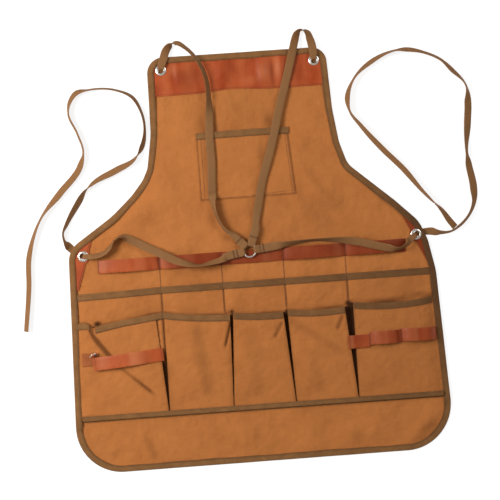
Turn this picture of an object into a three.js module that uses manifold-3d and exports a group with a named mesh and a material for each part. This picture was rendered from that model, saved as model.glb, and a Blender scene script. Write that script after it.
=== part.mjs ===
// Grill apron lying face up on a table: a canvas body with a bound edge, leather trims, pockets and straps.
// Millimetres. X runs across the apron, Y up the bib and Z up from the table. The origin is under its middle.

import * as THREE from "three";
import { mergeVertices } from "three/addons/utils/BufferGeometryUtils.js";
import Module from "manifold-3d";

const wasm = await Module();
wasm.setup();

// Thicknesses and widths of the materials
const CANVAS = 1.1;
const TAPE = 1.0;
const LEATHER = 1.6;
const WEB = 1.2;
const GAP = 0.3;
const BINDING_WIDTH = 12;
const BAND_WIDTH = 11.5;
const LEATHER_STRIP = 24;
const STRAP_WIDTH = 15;

// Heights of the layers above the cloth's underside
const CANVAS_LOW = TAPE + GAP;
const CANVAS_TOP = CANVAS_LOW + CANVAS;
const TRIM_LOW = CANVAS_TOP + GAP;
const TRIM_TOP = TRIM_LOW + LEATHER;
const PANEL_TOP = TRIM_LOW + CANVAS;
const POCKET_LOW = PANEL_TOP + GAP;
const POCKET_MID = POCKET_LOW + CANVAS / 2;
const POCKET_SEAM_TOP = POCKET_LOW + CANVAS;

// Corners of the cut outline, anticlockwise from the lower left, each rounded by an arc
const OUTLINE_CORNERS = [
  { x: -350.5, y: -380, round: 84 },
  { x: 351, y: -378.5, round: 86 },
  { x: 336, y: 23, round: 62 },
  { x: 178.5, y: 169, round: 90 },
  { x: 163.5, y: 378, round: 28 },
  { x: -170.5, y: 380, round: 30 },
  { x: -174.5, y: 158, round: 150 },
  { x: -338.5, y: 36, round: 30 },
];
const ARC_STEP = Math.PI / 10;

// Lines of the cloth's grid: it is split evenly between these breaks, and each layer of cloth shares it
const GRID_X = [
  { to: 57.3, steps: 2 },
  { to: 112, steps: 2 },
  { to: 126, steps: 1 },
  { to: 172, steps: 2 },
  { to: 287, steps: 3 },
  { to: 295, steps: 1 },
  { to: 354, steps: 2 },
];
const GRID_Y_START = -386;
const GRID_Y = [
  { to: -292, steps: 3 },
  { to: -98, steps: 1 },
  { to: -42, steps: 1 },
  { to: -6, steps: 1 },
  { to: 62, steps: 2 },
  { to: 318, steps: 6 },
  { to: 330, steps: 1 },
  { to: 386, steps: 2 },
];

// The corners with eyelets are lifted by the straps that pass under them
const EYELET_LIFT = 1.4;
const SIDE_LIFT = { fromX: 287, toX: 295, fromY: -42, toY: -6 };
const TOP_LIFT = { fromX: 112, toX: 126, fromY: 318, toY: 330 };

// Layers of cloth and leather taken in by the edge binding, from the hem upward
const BINDING_LAYERS = [
  { to: -294, face: CANVAS_TOP },
  { to: -40, face: POCKET_SEAM_TOP },
  { to: 110, face: TRIM_TOP },
  { to: 270, face: CANVAS_TOP },
  { to: Infinity, face: TRIM_TOP },
];

// Eyelets: places and sizes
const EYELETS = [
  { name: "eyelet_top_left", x: -143, y: 356 },
  { name: "eyelet_top_right", x: 140.5, y: 354.5 },
  { name: "eyelet_side_left", x: -311, y: 23 },
  { name: "eyelet_side_right", x: 306, y: 19.5 },
];
const EYELET_HOLE = 6;
const EYELET_BARREL = 6.8;
const EYELET_FLANGE = 10;
const EYELET_SHEET = 0.8;
const EYELET_CROWN = 0.5;
const EYELET_ROLL = 0.3;
const EYELET_SIDES = 12;
const EYELET_CUT = 7.3;

// Leather on the bib and at the side eyelets
const BIB_PANEL_FOOT = 308;
const PATCH_TOP = { x: 284, y: 54 };
const PATCH_FOOT = { x: 326, y: -39 };
const PATCH_BEYOND = { x: 254, y: 120 };

// Chest pocket
const CHEST_HALF_WIDTH = 87;
const CHEST_FOOT = 110;
const CHEST_MOUTH = 234;
const CHEST_GAPE = 7;
const CHEST_CURVE = 1.3;

// Leather strip of tool loops at the waist: its sewn lines and how far each loop stands up
const WAIST_STRIP_MIDDLE = 1;
const WAIST_LOOPS = [
  { from: -287, to: -172, rise: 7 },
  { from: -172, to: -57.3, rise: 6.5 },
  { from: -57.3, to: 57.3, rise: 1.5 },
  { from: 57.3, to: 172, rise: 6.5 },
  { from: 172, to: 286, rise: 7 },
];
const SEWN_LAND = 4;
const LOOP_SHARES = [0, 0.12, 0.3, 0.5, 0.7, 0.88, 1];
const LOOP_FULLNESS = 0.7;

// Slot pockets: one flat panel sewn down in sections, whose mouths gape a little
const SLOT_MOUTH = -44.6;
const SLOT_GAPE = 8;
const SLOT_FLAT = -98;
const SLOT_INSET = 4;
const SLOT_SEAMS = [-328, -172, -57.3, 57.3, 172, 328];

// Lower pockets: seams between them at mouth and foot, and how far the pleats beside a seam stand open
const POCKET_FOOT = -280;
const POCKET_SEAMS = [
  { mouth: -338, foot: -342, openLeft: 0, openRight: 0 },
  { mouth: -172, foot: -172, openLeft: 14, openRight: 4 },
  { mouth: -45, foot: -53, openLeft: 3.5, openRight: 3.5 },
  { mouth: 54, foot: 63.5, openLeft: 4.5, openRight: 4.5 },
  { mouth: 174, foot: 178.5, openLeft: 7, openRight: 7 },
  { mouth: 336.6, foot: 343.3, openLeft: 0, openRight: 0 },
];
// Height of each pocket's bound mouth along Y, and how each of its sides is folded
const POCKETS = [
  { left: -111, middle: -99, right: -93, leftSide: "tuck", rightSide: "pleat" },
  { left: -93, middle: -101, right: -104, leftSide: "pleat", rightSide: "pleat" },
  { left: -101, middle: -106, right: -106, leftSide: "pleat", rightSide: "pleat" },
  { left: -102, middle: -107, right: -104, leftSide: "pleat", rightSide: "pleat" },
  { left: -100, middle: -106, right: -99, leftSide: "pleat", rightSide: "plain" },
];
const PLEAT_DEPTH = 12;
const PLEAT_FOLD = 1.5;
const PLEAT_CLOSED = 1.1;
const PLEAT_POINTS = 4;
const POCKET_RISE = 12;
const POCKET_CROWN = 2.2;
const POCKET_ROWS = [0, 0.22, 0.46, 0.7, 0.93, 1];
// The slanting tuck in the first pocket, by height in the pocket: its place and its depth
const TUCK = [
  { at: 0, x: -225, depth: 0 },
  { at: 0.25, x: -232, depth: 0.05 },
  { at: 0.46, x: -246, depth: 0.25 },
  { at: 0.7, x: -274, depth: 0.6 },
  { at: 0.93, x: -303, depth: 0.95 },
  { at: 1, x: -303, depth: 0.95 },
];
const TUCK_LIP = { inner: 5, outer: 4 };
// The last pocket's plain side: distances out from its sewn edge and shares of the pocket's height
const SIDE_LAND = 10;
const PLAIN_SIDE = [
  { out: 12, share: 0.62 },
  { out: 26, share: 1 },
  { out: 40, share: 1 },
];
const FRONT_PARTS = [
  { part: 0.25, crown: 0.8 },
  { part: 0.5, crown: 1 },
  { part: 0.75, crown: 0.8 },
];
const RISE_CURVE = 1.15;

// Lower band over the feet of the pockets
const BAND_TOP = -272;
const BAND_LOW = -284;
const BAND_ENDS = [-333.4, 334.4];
// Its section: where it lies along Y, and how far over the pockets' feet
const BAND_STEP = [
  { y: BAND_TOP, over: 0.9 },
  { y: POCKET_FOOT, over: 0.3 },
  { y: POCKET_FOOT - 1.2, over: -0.3 },
];
const BAND_EDGE = POCKET_FOOT - 1.4;

// Strap for a towel on the first pocket, with its tab and snap
const TOWEL_MIDDLE = { x: -239.5, y: -172 };
const TOWEL_TURN = 4.5;
// Stations along the strap from its middle, with its height above the table
const TOWEL_STATIONS = [
  { along: -66, z: 15.5 },
  { along: -52, z: 16.2 },
  { along: -36, z: 19.8 },
  { along: -8, z: 22.3 },
  { along: 20, z: 20.6 },
  { along: 42, z: 16.4 },
  { along: 54, z: 15.4 },
  { along: 64, z: 14.6 },
];
const TAB_STATIONS = [-326, -318, -308, -296];
const TAB_MIDDLE = -178;
const SNAP = { x: -304.4, y: -160.6, z: 16.2, turn: 24, lean: 52 };
const SNAP_DISC = { radius: 8, foot: 4.4, rim: 7, thickness: 2.6 };

// Tool loops on the last pocket: stations with their height over the pocket's front
const TOOL_LOOPS_MIDDLE = -170;
const TOOL_LOOPS_SEAT = 190;
const TOOL_LOOPS = [
  { x: 166, over: 0.4 },
  { x: 173, over: 0.8 },
  { x: 186, over: 0 },
  { x: 203, over: 0 },
  { x: 207, over: 0 },
  { x: 213, over: 5.5 },
  { x: 224, over: 8.6 },
  { x: 242, over: 8.6 },
  { x: 254, over: 5.6 },
  { x: 260, over: 0 },
  { x: 267, over: 0 },
  { x: 273, over: 5.5 },
  { x: 285, over: 8.8 },
  { x: 300, over: 9 },
  { x: 313, over: 9.5 },
  { x: 321, over: 5 },
  { x: 325, over: 0 },
];

// Steel ring that joins the straps, and the loops of webbing sewn round it
const RING = { x: -3.5, y: 11.7, z: 10.7, radius: 11.75, wire: 1.75 };
const RING_TUBE_SIDES = 8;
const RING_SIDES = 16;
const LOOP_WIDTH = 7;
const LOOP_TAIL = 30;
const LOOP_CLOSE = 10;
const LOOP_SPREAD = 0.98;
const LOOP_END_WIDTH = 12;
const LOOP_TURNS = [-60, -90, -130, -180, -230, -270, -300];

// Strap routes: place, height of what the strap rests on, roll about its length, and width where gathered
const SHOULDER_LEFT = [
  { x: -143, y: 334, z: 0.7 },
  { x: -143, y: 352, z: 0.7, width: 10 },
  { x: -143, y: 355.2, z: 1.9, width: 9.5 },
  { x: -143, y: 356.2, z: 5.5, width: 9.5 },
  { x: -142.8, y: 357.2, z: 9.6, width: 9.5 },
  { x: -141.2, y: 363, z: 11.2, width: 11 },
  { x: -136.1, y: 376.1, rest: 10, roll: 12, width: 14 },
  { x: -130.2, y: 391, rest: 6, roll: 45 },
  { x: -122.5, y: 399.5, rest: 3, roll: 85 },
  { x: -111.6, y: 403.8, rest: 2, roll: 115 },
  { x: -95.8, y: 394.3, rest: 5, roll: 116 },
  { x: -80.3, y: 378, rest: 7.5, roll: 114 },
  { x: -67.7, y: 356.8, rest: 8, roll: 114 },
  { x: -60, y: 332.7, rest: 7.5, roll: 118 },
  { x: -58.1, y: 300, rest: 7, roll: 126 },
  { x: -59.5, y: 259.2, rest: 8, roll: 170 },
  { x: -61.7, y: 228, rest: 11, roll: 180 },
  { x: -61.6, y: 182, rest: 9.5, roll: 180 },
  { x: -64.4, y: 126, rest: 7.5, roll: 172 },
  { x: -64, y: 101.7, rest: 6, roll: 232 },
  { x: -57, y: 73, rest: 6.5, roll: 246 },
  { x: -43, y: 50.5, rest: 9, roll: 232 },
];
const SHOULDER_RIGHT = [
  { x: 140.5, y: 332, z: 0.7 },
  { x: 140.5, y: 350.5, z: 0.7, width: 10 },
  { x: 140.5, y: 353.7, z: 1.9, width: 9.5 },
  { x: 140.5, y: 354.7, z: 5.5, width: 9.5 },
  { x: 140.5, y: 355.7, z: 9.6, width: 9.5 },
  { x: 140.3, y: 361.5, z: 11.2, width: 11 },
  { x: 139.5, y: 377, rest: 10, roll: 8, width: 14 },
  { x: 136.1, y: 393.8, rest: 6, roll: 30 },
  { x: 131.4, y: 406.5, rest: 3, roll: 65 },
  { x: 121.8, y: 411, rest: 1, roll: 90 },
  { x: 113.5, y: 405.1, rest: 3, roll: 115 },
  { x: 108.3, y: 393, rest: 6, roll: 145 },
  { x: 103.9, y: 378, rest: 9, roll: 165 },
  { x: 98.1, y: 358.9, rest: 9, roll: 178 },
  { x: 82.5, y: 308, rest: 8, roll: 180 },
  { x: 70.1, y: 268.8, rest: 8, roll: 180 },
  { x: 58, y: 226, rest: 11, roll: 180 },
  { x: 43, y: 178, rest: 10, roll: 180 },
  { x: 29.8, y: 139.7, rest: 8, roll: 176 },
  { x: 18.5, y: 92, rest: 6.5, roll: 172 },
  { x: 12, y: 62, rest: 8, roll: 180, width: 13 },
];
const WAIST_LEFT = [
  { x: -55, y: -0.8, rest: 10.5, roll: 40 },
  { x: -78, y: -6.1, rest: 12.5, roll: 60 },
  { x: -97, y: -8.9, rest: 12.8, roll: 76 },
  { x: -116, y: -5.5, rest: 12.8, roll: 52 },
  { x: -137.6, y: 2, rest: 12.5, roll: 24 },
  { x: -160.4, y: 14, rest: 12, roll: 10 },
  { x: -205.9, y: 38.6, rest: 6, roll: 8 },
  { x: -228.7, y: 51.5, rest: 5.5, roll: 25 },
  { x: -239, y: 55.1, rest: 5.5, roll: 75 },
  { x: -250.2, y: 48.9, rest: 5.5, roll: 85 },
  { x: -260.6, y: 35, rest: 6, roll: 50 },
  { x: -275, y: 24.7, rest: 10, roll: 22, width: 14 },
  { x: -293, y: 21.5, z: 12.6, width: 12 },
  { x: -304.5, y: 22.3, z: 11.2, width: 10 },
  { x: -310, y: 22.7, z: 9.4, width: 9.5 },
  { x: -311, y: 23, z: 5.5, width: 9.5 },
  { x: -312, y: 23.4, z: 1.5, width: 9.5 },
  { x: -315.5, y: 25.2, z: 0.7, width: 10 },
  { x: -333, y: 39, z: 0.7, width: 14 },
  { x: -343, y: 54, rest: 0.2, roll: 66 },
  { x: -346, y: 68, rest: 0.2, roll: 84 },
  { x: -337.6, y: 83, rest: 0.2, roll: 64 },
  { x: -311.5, y: 127.1, rest: 0.2, roll: 34 },
  { x: -299.7, y: 143.3, rest: 0.2, roll: 74 },
  { x: -283.9, y: 156, rest: 0.2, roll: 116 },
  { x: -240, y: 177, rest: 0.2, roll: 152 },
  { x: -203, y: 196.5, rest: 0.2, roll: 110 },
  { x: -188.5, y: 217, rest: 0.2, roll: 58 },
  { x: -180, y: 252, rest: 0.2, roll: 34 },
  { x: -185, y: 284, rest: 0.2, roll: 70 },
  { x: -199, y: 310, rest: 0.2, roll: 70 },
  { x: -230, y: 326.5, rest: 0.2, roll: 82 },
  { x: -280, y: 329.2, rest: 0.2, roll: 82 },
  { x: -303, y: 325, rest: 0.2, roll: 54 },
  { x: -316, y: 309, rest: 0.2, roll: 68 },
  { x: -319, y: 289, rest: 0.2, roll: 82 },
  { x: -305, y: 250, rest: 0.2, roll: 83 },
  { x: -295.8, y: 214, rest: 0.2, roll: 80 },
  { x: -303.5, y: 189, rest: 0.2, roll: 40 },
  { x: -346.5, y: 142.5, rest: 0.2, roll: 32 },
  { x: -383.9, y: 98.3, rest: 0.2, roll: 80 },
  { x: -401, y: 64, rest: 0.2, roll: 71 },
  { x: -412.5, y: 27.3, rest: 0.2, roll: 55 },
  { x: -415, y: -25, rest: 0.2, roll: 58 },
  { x: -426.1, y: -107.9, rest: 0.2, roll: 56 },
];
const WAIST_RIGHT = [
  { x: 65, y: 19.7, rest: 10.5, roll: 52 },
  { x: 117.4, y: 24.4, rest: 10.5, roll: 58 },
  { x: 163.9, y: 20.2, rest: 11, roll: 20 },
  { x: 194.8, y: 14, rest: 12.8, roll: 18 },
  { x: 225.3, y: 5.3, rest: 12.8, roll: 20 },
  { x: 252, y: -2, rest: 12.8, roll: 26 },
  { x: 271.5, y: -4.6, rest: 12, roll: 70 },
  { x: 284.9, y: 1.5, rest: 11, roll: 62, width: 14 },
  { x: 292.5, y: 9.5, z: 13, roll: 10, width: 12 },
  { x: 299, y: 14.7, z: 11.4, width: 10 },
  { x: 305, y: 18.9, z: 9.4, width: 9.5 },
  { x: 306, y: 19.5, z: 5.5, width: 9.5 },
  { x: 307, y: 20, z: 1.3, width: 9.5 },
  { x: 310.5, y: 21.2, z: 0.7, width: 10 },
  { x: 334, y: 23, z: 0.7, width: 14 },
  { x: 350, y: 19.8, rest: 0.2, roll: 60 },
  { x: 368, y: 19.5, rest: 0.2, roll: 81 },
  { x: 388, y: 30, rest: 0.2, roll: 76 },
  { x: 406.1, y: 47.1, rest: 0.2, roll: 75 },
  { x: 417, y: 69, rest: 0.2, roll: 64 },
  { x: 419, y: 98, rest: 0.2, roll: 12 },
  { x: 411.7, y: 140.4, rest: 0.2, roll: 28 },
  { x: 410, y: 162, rest: 0.2, roll: 74 },
  { x: 417.6, y: 220.6, rest: 0.2, roll: 15 },
  { x: 420, y: 254.2, rest: 0.2, roll: 10 },
  { x: 416.5, y: 287, rest: 0.2, roll: 84 },
  { x: 394.7, y: 318.6, rest: 0.2, roll: 120 },
  { x: 375.5, y: 339.5, rest: 0.2, roll: 105 },
  { x: 349, y: 353, rest: 0.2, roll: 77 },
  { x: 314, y: 361.5, rest: 0.2, roll: 55 },
  { x: 291.1, y: 360.2, rest: 0.2, roll: 81 },
  { x: 245.6, y: 342.5, rest: 0.2, roll: 53 },
  { x: 211, y: 313, rest: 0.2, roll: 80 },
  { x: 197.5, y: 280, rest: 0.2, roll: 48 },
  { x: 201.3, y: 254.7, rest: 0.2, roll: 79 },
  { x: 219, y: 227.4, rest: 0.2, roll: 61 },
  { x: 255, y: 180, rest: 0.2, roll: 43 },
  { x: 290.8, y: 140, rest: 0.2, roll: 44 },
  { x: 324, y: 97, rest: 0.2, roll: 69 },
  { x: 338.2, y: 79.4, rest: 0.2, roll: 81 },
  { x: 355.2, y: 63, rest: 0.2, roll: 117 },
  { x: 369, y: 40, rest: 0.2, roll: 143 },
];
const RING_SIDE = { shoulderLeft: 132, shoulderRight: 70, waistLeft: 190, waistRight: 6 };

// Colours and finishes
function finish(color, roughness, metalness) {
  return new THREE.MeshStandardMaterial({ color, roughness, metalness });
}
const canvas = finish("#bd7841", 0.9, 0);
const tape = finish("#7a5c39", 0.9, 0);
const leather = finish("#ab4f2e", 0.45, 0);
const webbing = finish("#8a6540", 0.9, 0);
const steel = finish("#d6d7d8", 0.22, 1);

const radians = THREE.MathUtils.degToRad;
const lerp = THREE.MathUtils.lerp;
const apron = new THREE.Group();

function piece(name, geometry, material) {
  const mesh = new THREE.Mesh(geometry, material);
  mesh.name = name;
  apron.add(mesh);
  return mesh;
}

// Share of the way from one value to another, kept between 0 and 1
function ramp(value, from, to) {
  return THREE.MathUtils.clamp((value - from) / (to - from), 0, 1);
}

// Straight-line reading of a table's column at a given value of its key column
function read(rows, key, column, at) {
  const found = rows.findIndex((row) => row[key] >= at);
  const next = found < 0 ? rows.length - 1 : Math.max(1, found);
  const low = rows[next - 1];
  const high = rows[next];
  return lerp(low[column], high[column], ramp(at, low[key], high[key]));
}

// Solids, cuts and joins
function toSolid(geometry) {
  const bare = geometry.clone();
  bare.deleteAttribute("normal");
  bare.deleteAttribute("uv");
  const merged = mergeVertices(bare, 1e-4);
  const vertProperties = merged.attributes.position.array;
  const triVerts = merged.index.array;
  return new wasm.Manifold(new wasm.Mesh({ numProp: 3, vertProperties, triVerts }));
}

function toGeometry(solid) {
  const mesh = solid.getMesh();
  const geometry = new THREE.BufferGeometry();
  geometry.setAttribute("position", new THREE.BufferAttribute(new Float32Array(mesh.vertProperties), 3));
  geometry.setIndex(new THREE.BufferAttribute(new Uint32Array(mesh.triVerts), 1));
  geometry.computeVertexNormals();
  return geometry;
}

// Closed wall between two grids of points that match row by row
function wall(front, back) {
  const rows = front.length;
  const columns = front[0].length;
  const positions = [...front.flat(2), ...back.flat(2)];
  const at = (side, i, j) => (side * rows + i) * columns + j;
  const index = [];
  const quad = (a, b, c, d) => index.push(a, b, c, a, c, d);
  for (let i = 0; i < rows - 1; i += 1) {
    for (let j = 0; j < columns - 1; j += 1) {
      quad(at(0, i, j), at(0, i, j + 1), at(0, i + 1, j + 1), at(0, i + 1, j));
      quad(at(1, i, j), at(1, i + 1, j), at(1, i + 1, j + 1), at(1, i, j + 1));
    }
    quad(at(0, i, 0), at(0, i + 1, 0), at(1, i + 1, 0), at(1, i, 0));
    quad(at(0, i + 1, columns - 1), at(0, i, columns - 1), at(1, i, columns - 1), at(1, i + 1, columns - 1));
  }
  for (let j = 0; j < columns - 1; j += 1) {
    quad(at(0, 0, j + 1), at(0, 0, j), at(1, 0, j), at(1, 0, j + 1));
    quad(at(0, rows - 1, j), at(0, rows - 1, j + 1), at(1, rows - 1, j + 1), at(1, rows - 1, j));
  }
  const geometry = new THREE.BufferGeometry();
  geometry.setAttribute("position", new THREE.Float32BufferAttribute(positions, 3));
  geometry.setIndex(signedVolume(positions, index) < 0 ? index.reverse() : index);
  geometry.computeVertexNormals();
  return geometry;
}

function signedVolume(positions, index) {
  const corner = (k) => new THREE.Vector3().fromArray(positions, 3 * index[k]);
  let volume = 0;
  for (let k = 0; k < index.length; k += 3) {
    volume += corner(k).dot(corner(k + 1).cross(corner(k + 2)));
  }
  return volume;
}

// The two sides of a line of points with a thickness, mitred at its bends
function thicken(points, thickness) {
  const sides = [[], []];
  points.forEach((point, k) => {
    const before = points[Math.max(0, k - 1)];
    const after = points[Math.min(points.length - 1, k + 1)];
    const into = point.clone().sub(k > 0 ? before : after).multiplyScalar(k > 0 ? 1 : -1).normalize();
    const out = k < points.length - 1 ? after.clone().sub(point).normalize() : into;
    const bisector = new THREE.Vector2(-into.y - out.y, into.x + out.x).normalize();
    const reach = thickness / 2 / bisector.dot(new THREE.Vector2(-into.y, into.x));
    sides[0].push(point.clone().addScaledVector(bisector, reach));
    sides[1].push(point.clone().addScaledVector(bisector, -reach));
  });
  return sides;
}

// Outline of the cut cloth, with an arc at each corner
function roundedOutline(corners) {
  return corners.flatMap((corner, k) => {
    const here = new THREE.Vector2(corner.x, corner.y);
    const before = corners[(k + corners.length - 1) % corners.length];
    const after = corners[(k + 1) % corners.length];
    const back = new THREE.Vector2(before.x, before.y).sub(here).normalize();
    const ahead = new THREE.Vector2(after.x, after.y).sub(here).normalize();
    const half = Math.acos(back.dot(ahead)) / 2;
    const inward = back.clone().add(ahead).normalize();
    const centre = here.clone().addScaledVector(inward, corner.round / Math.sin(half));
    const start = here.clone().addScaledVector(back, corner.round / Math.tan(half)).sub(centre);
    const sweep = (Math.PI - 2 * half) * Math.sign(back.cross(ahead)) * -1;
    const steps = Math.max(3, Math.round(Math.abs(sweep) / ARC_STEP));
    return Array.from({ length: steps + 1 }, (_, i) => {
      return start.clone().rotateAround(new THREE.Vector2(), (sweep * i) / steps).add(centre);
    });
  });
}

function inset(points, distance) {
  return points.map((point, k) => {
    const before = points[(k + points.length - 1) % points.length];
    const after = points[(k + 1) % points.length];
    const into = point.clone().sub(before).normalize();
    const out = after.clone().sub(point).normalize();
    const inward = new THREE.Vector2(-into.y - out.y, into.x + out.x).normalize();
    const reach = distance / inward.dot(new THREE.Vector2(-into.y, into.x));
    return point.clone().addScaledVector(inward, reach);
  });
}

const rectangle = (x0, y0, x1, y1) => [
  new THREE.Vector2(x0, y0),
  new THREE.Vector2(x1, y0),
  new THREE.Vector2(x1, y1),
  new THREE.Vector2(x0, y1),
];

const PRISM_LOW = -10;
const PRISM_HEIGHT = 60;
const BEYOND = 400;
function prism(points) {
  const shape = new THREE.Shape(points);
  const geometry = new THREE.ExtrudeGeometry(shape, { depth: PRISM_HEIGHT, bevelEnabled: false });
  return toSolid(geometry.translate(0, 0, PRISM_LOW));
}

// Height of the cloth's underside over the table
function drape(x, y) {
  const corners = [SIDE_LIFT, TOP_LIFT].map(({ fromX, toX, fromY, toY }) => {
    return ramp(Math.abs(x), fromX, toX) * ramp(y, fromY, toY);
  });
  return EYELET_LIFT * Math.max(...corners);
}

function gridLines(start, breaks) {
  const lines = [start];
  breaks.forEach(({ to, steps }) => {
    const from = lines.at(-1);
    for (let k = 1; k <= steps; k += 1) {
      lines.push(lerp(from, to, k / steps));
    }
  });
  return lines;
}
const rightLines = gridLines(0, GRID_X);
const linesX = [...rightLines.slice(1).map((x) => -x).reverse(), ...rightLines];
const linesY = gridLines(GRID_Y_START, GRID_Y);

// The lines that cover a stretch, with one beyond each end
function covering(lines, low, high) {
  const first = lines.findLastIndex((line) => line < low);
  const last = lines.findIndex((line) => line > high);
  return lines.slice(first, last + 1);
}

// A layer of cloth or leather: a slab of the shared grid, cut to an outline
function sheet(outline, low, top) {
  const box = new THREE.Box2().setFromPoints(outline);
  const columns = covering(linesX, box.min.x, box.max.x);
  const rows = covering(linesY, box.min.y, box.max.y);
  const surface = (height) => rows.map((y) => columns.map((x) => [x, y, drape(x, y) + height(x, y)]));
  return toSolid(wall(surface(top), surface(low))).intersect(prism(outline));
}

const level = (height) => () => height;
const raise = (height, by) => (x, y) => height(x, y) + by;

// Tape folded over the upper edge of a panel: a face on the panel and a lip over its edge
function edgeTape(from, to, edge, panelLow, panelTop) {
  const lipLow = edge + GAP;
  const face = rectangle(from, edge - BAND_WIDTH, to, lipLow + TAPE);
  const lip = rectangle(from, lipLow, to, lipLow + TAPE);
  const outside = raise(panelTop, GAP + TAPE);
  return sheet(face, raise(panelTop, GAP), outside).add(sheet(lip, panelLow, outside));
}

const outline = roundedOutline(OUTLINE_CORNERS);
const clothOutline = inset(outline, TAPE + GAP);
const trimOutline = inset(outline, TAPE + 3 * GAP);

// Eyelet holes through the cloth and the leather
function pierce(solid) {
  return EYELETS.reduce((rest, { x, y }) => {
    const circle = new THREE.Shape().absarc(x, y, EYELET_CUT, 0, 2 * Math.PI);
    return rest.subtract(prism(circle.getPoints(EYELET_SIDES / 2).slice(0, -1)));
  }, solid);
}

// Canvas body
const bodySolid = pierce(sheet(clothOutline, level(CANVAS_LOW), level(CANVAS_TOP)));
piece("apron_body", toGeometry(bodySolid), canvas);

// Edge binding: tape folded round the edge, thicker where it takes in leather or pockets
function bindingFace(x, y) {
  return BINDING_LAYERS.find(({ to }) => y < to).face + GAP;
}
const bindingSlab = sheet(outline, level(0), raise(bindingFace, TAPE));
const bindingSlot = sheet(inset(outline, TAPE), level(TAPE), bindingFace);
const bindingSolid = bindingSlab.subtract(bindingSlot).subtract(prism(inset(outline, BINDING_WIDTH)));
piece("edge_binding", toGeometry(bindingSolid), tape);

// Leather across the bib and at the side eyelets
const aboveBib = rectangle(-BEYOND, BIB_PANEL_FOOT, BEYOND, BEYOND);
const bibSolid = sheet(trimOutline, level(TRIM_LOW), level(TRIM_TOP)).intersect(prism(aboveBib));
piece("bib_panel", toGeometry(pierce(bibSolid)), leather);
for (const [name, side] of [["corner_patch_left", -1], ["corner_patch_right", 1]]) {
  const corner = [
    new THREE.Vector2(side * PATCH_TOP.x, PATCH_TOP.y),
    new THREE.Vector2(side * PATCH_FOOT.x, PATCH_FOOT.y),
    new THREE.Vector2(side * BEYOND, PATCH_FOOT.y),
    new THREE.Vector2(side * BEYOND, PATCH_BEYOND.y),
    new THREE.Vector2(side * PATCH_BEYOND.x, PATCH_BEYOND.y),
  ];
  const patch = sheet(trimOutline, level(TRIM_LOW), level(TRIM_TOP)).intersect(prism(corner));
  piece(name, toGeometry(pierce(patch)), leather);
}

// Chest pocket with its bound mouth
function chestLow(x, y) {
  const across = Math.max(0, 1 - (x / CHEST_HALF_WIDTH) ** 2);
  return TRIM_LOW + CHEST_GAPE * across * ramp(y, CHEST_FOOT, CHEST_MOUTH) ** CHEST_CURVE;
}
const chestTop = raise(chestLow, CANVAS);
const chestOutline = rectangle(-CHEST_HALF_WIDTH, CHEST_FOOT, CHEST_HALF_WIDTH, CHEST_MOUTH);
piece("chest_pocket", toGeometry(sheet(chestOutline, chestLow, chestTop)), canvas);
const chestTape = edgeTape(-CHEST_HALF_WIDTH, CHEST_HALF_WIDTH, CHEST_MOUTH, chestLow, chestTop);
piece("chest_pocket_tape", toGeometry(chestTape), tape);

// Slot pockets: the panel is sewn down at its seams and gapes between them
function slotLow(x, y) {
  const seam = SLOT_SEAMS.findIndex((line) => x <= line);
  if (seam < 1) {
    return TRIM_LOW;
  }
  const middle = (SLOT_SEAMS[seam - 1] + SLOT_SEAMS[seam]) / 2;
  const half = (SLOT_SEAMS[seam] - SLOT_SEAMS[seam - 1]) / 2;
  const across = 1 - ((x - middle) / half) ** 2;
  return TRIM_LOW + SLOT_GAPE * across * ramp(y, SLOT_FLAT, SLOT_MOUTH);
}
const slotTop = raise(slotLow, CANVAS);
const slotBand = prism(rectangle(-BEYOND, POCKET_FOOT, BEYOND, SLOT_MOUTH));
const slotSolid = sheet(inset(outline, SLOT_INSET), slotLow, slotTop).intersect(slotBand);
piece("slot_pocket_panel", toGeometry(slotSolid), canvas);
const slotTapeSolid = edgeTape(SLOT_SEAMS[0], SLOT_SEAMS.at(-1), SLOT_MOUTH, slotLow, slotTop);
const insideBinding = prism(inset(outline, BINDING_WIDTH + GAP));
piece("slot_pocket_tape", toGeometry(slotTapeSolid.intersect(insideBinding)), tape);

// Leather strip of tool loops at the waist
const stripStations = WAIST_LOOPS.flatMap(({ from, to, rise }) => {
  return LOOP_SHARES.map((share) => {
    const x = lerp(from + SEWN_LAND / 2, to - SEWN_LAND / 2, share);
    return new THREE.Vector2(x, TRIM_LOW + LEATHER / 2 + rise * Math.sin(Math.PI * share) ** LOOP_FULLNESS);
  });
});
function stripAcross(stations, middle) {
  const [upper, lower] = thicken(stations, LEATHER);
  const edges = [middle - LEATHER_STRIP / 2, middle + LEATHER_STRIP / 2];
  const grid = (side) => edges.map((y) => side.map((point) => [point.x, y, point.y]));
  return wall(grid(upper), grid(lower));
}
piece("waist_loop_strip", stripAcross(stripStations, WAIST_STRIP_MIDDLE), leather);

// Section of a lower pocket at a share of its height: places across it and heights over the seams
function pocketSection(number, share) {
  const pocket = POCKETS[number];
  const leftSeam = POCKET_SEAMS[number];
  const rightSeam = POCKET_SEAMS[number + 1];
  const left = lerp(leftSeam.foot, leftSeam.mouth, share);
  const right = lerp(rightSeam.foot, rightSeam.mouth, share);
  const rise = lerp(2 * PLEAT_FOLD, POCKET_RISE, share ** RISE_CURVE);
  const crown = rise + POCKET_CROWN * Math.sin(Math.PI * share);
  const leftOpen = lerp(PLEAT_CLOSED, leftSeam.openRight, share);
  const rightOpen = lerp(PLEAT_CLOSED, rightSeam.openLeft, share);
  const start = pocketSide(pocket.leftSide, left, 1, leftOpen, rise, share);
  const end = pocketSide(pocket.rightSide, right, -1, rightOpen, rise, share).reverse();
  const from = start.at(-1).x;
  const to = end[0].x;
  const middle = FRONT_PARTS.map((row) => ({ x: lerp(from, to, row.part), z: lerp(rise, crown, row.crown) }));
  return [...start, ...middle, ...end];
}

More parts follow.
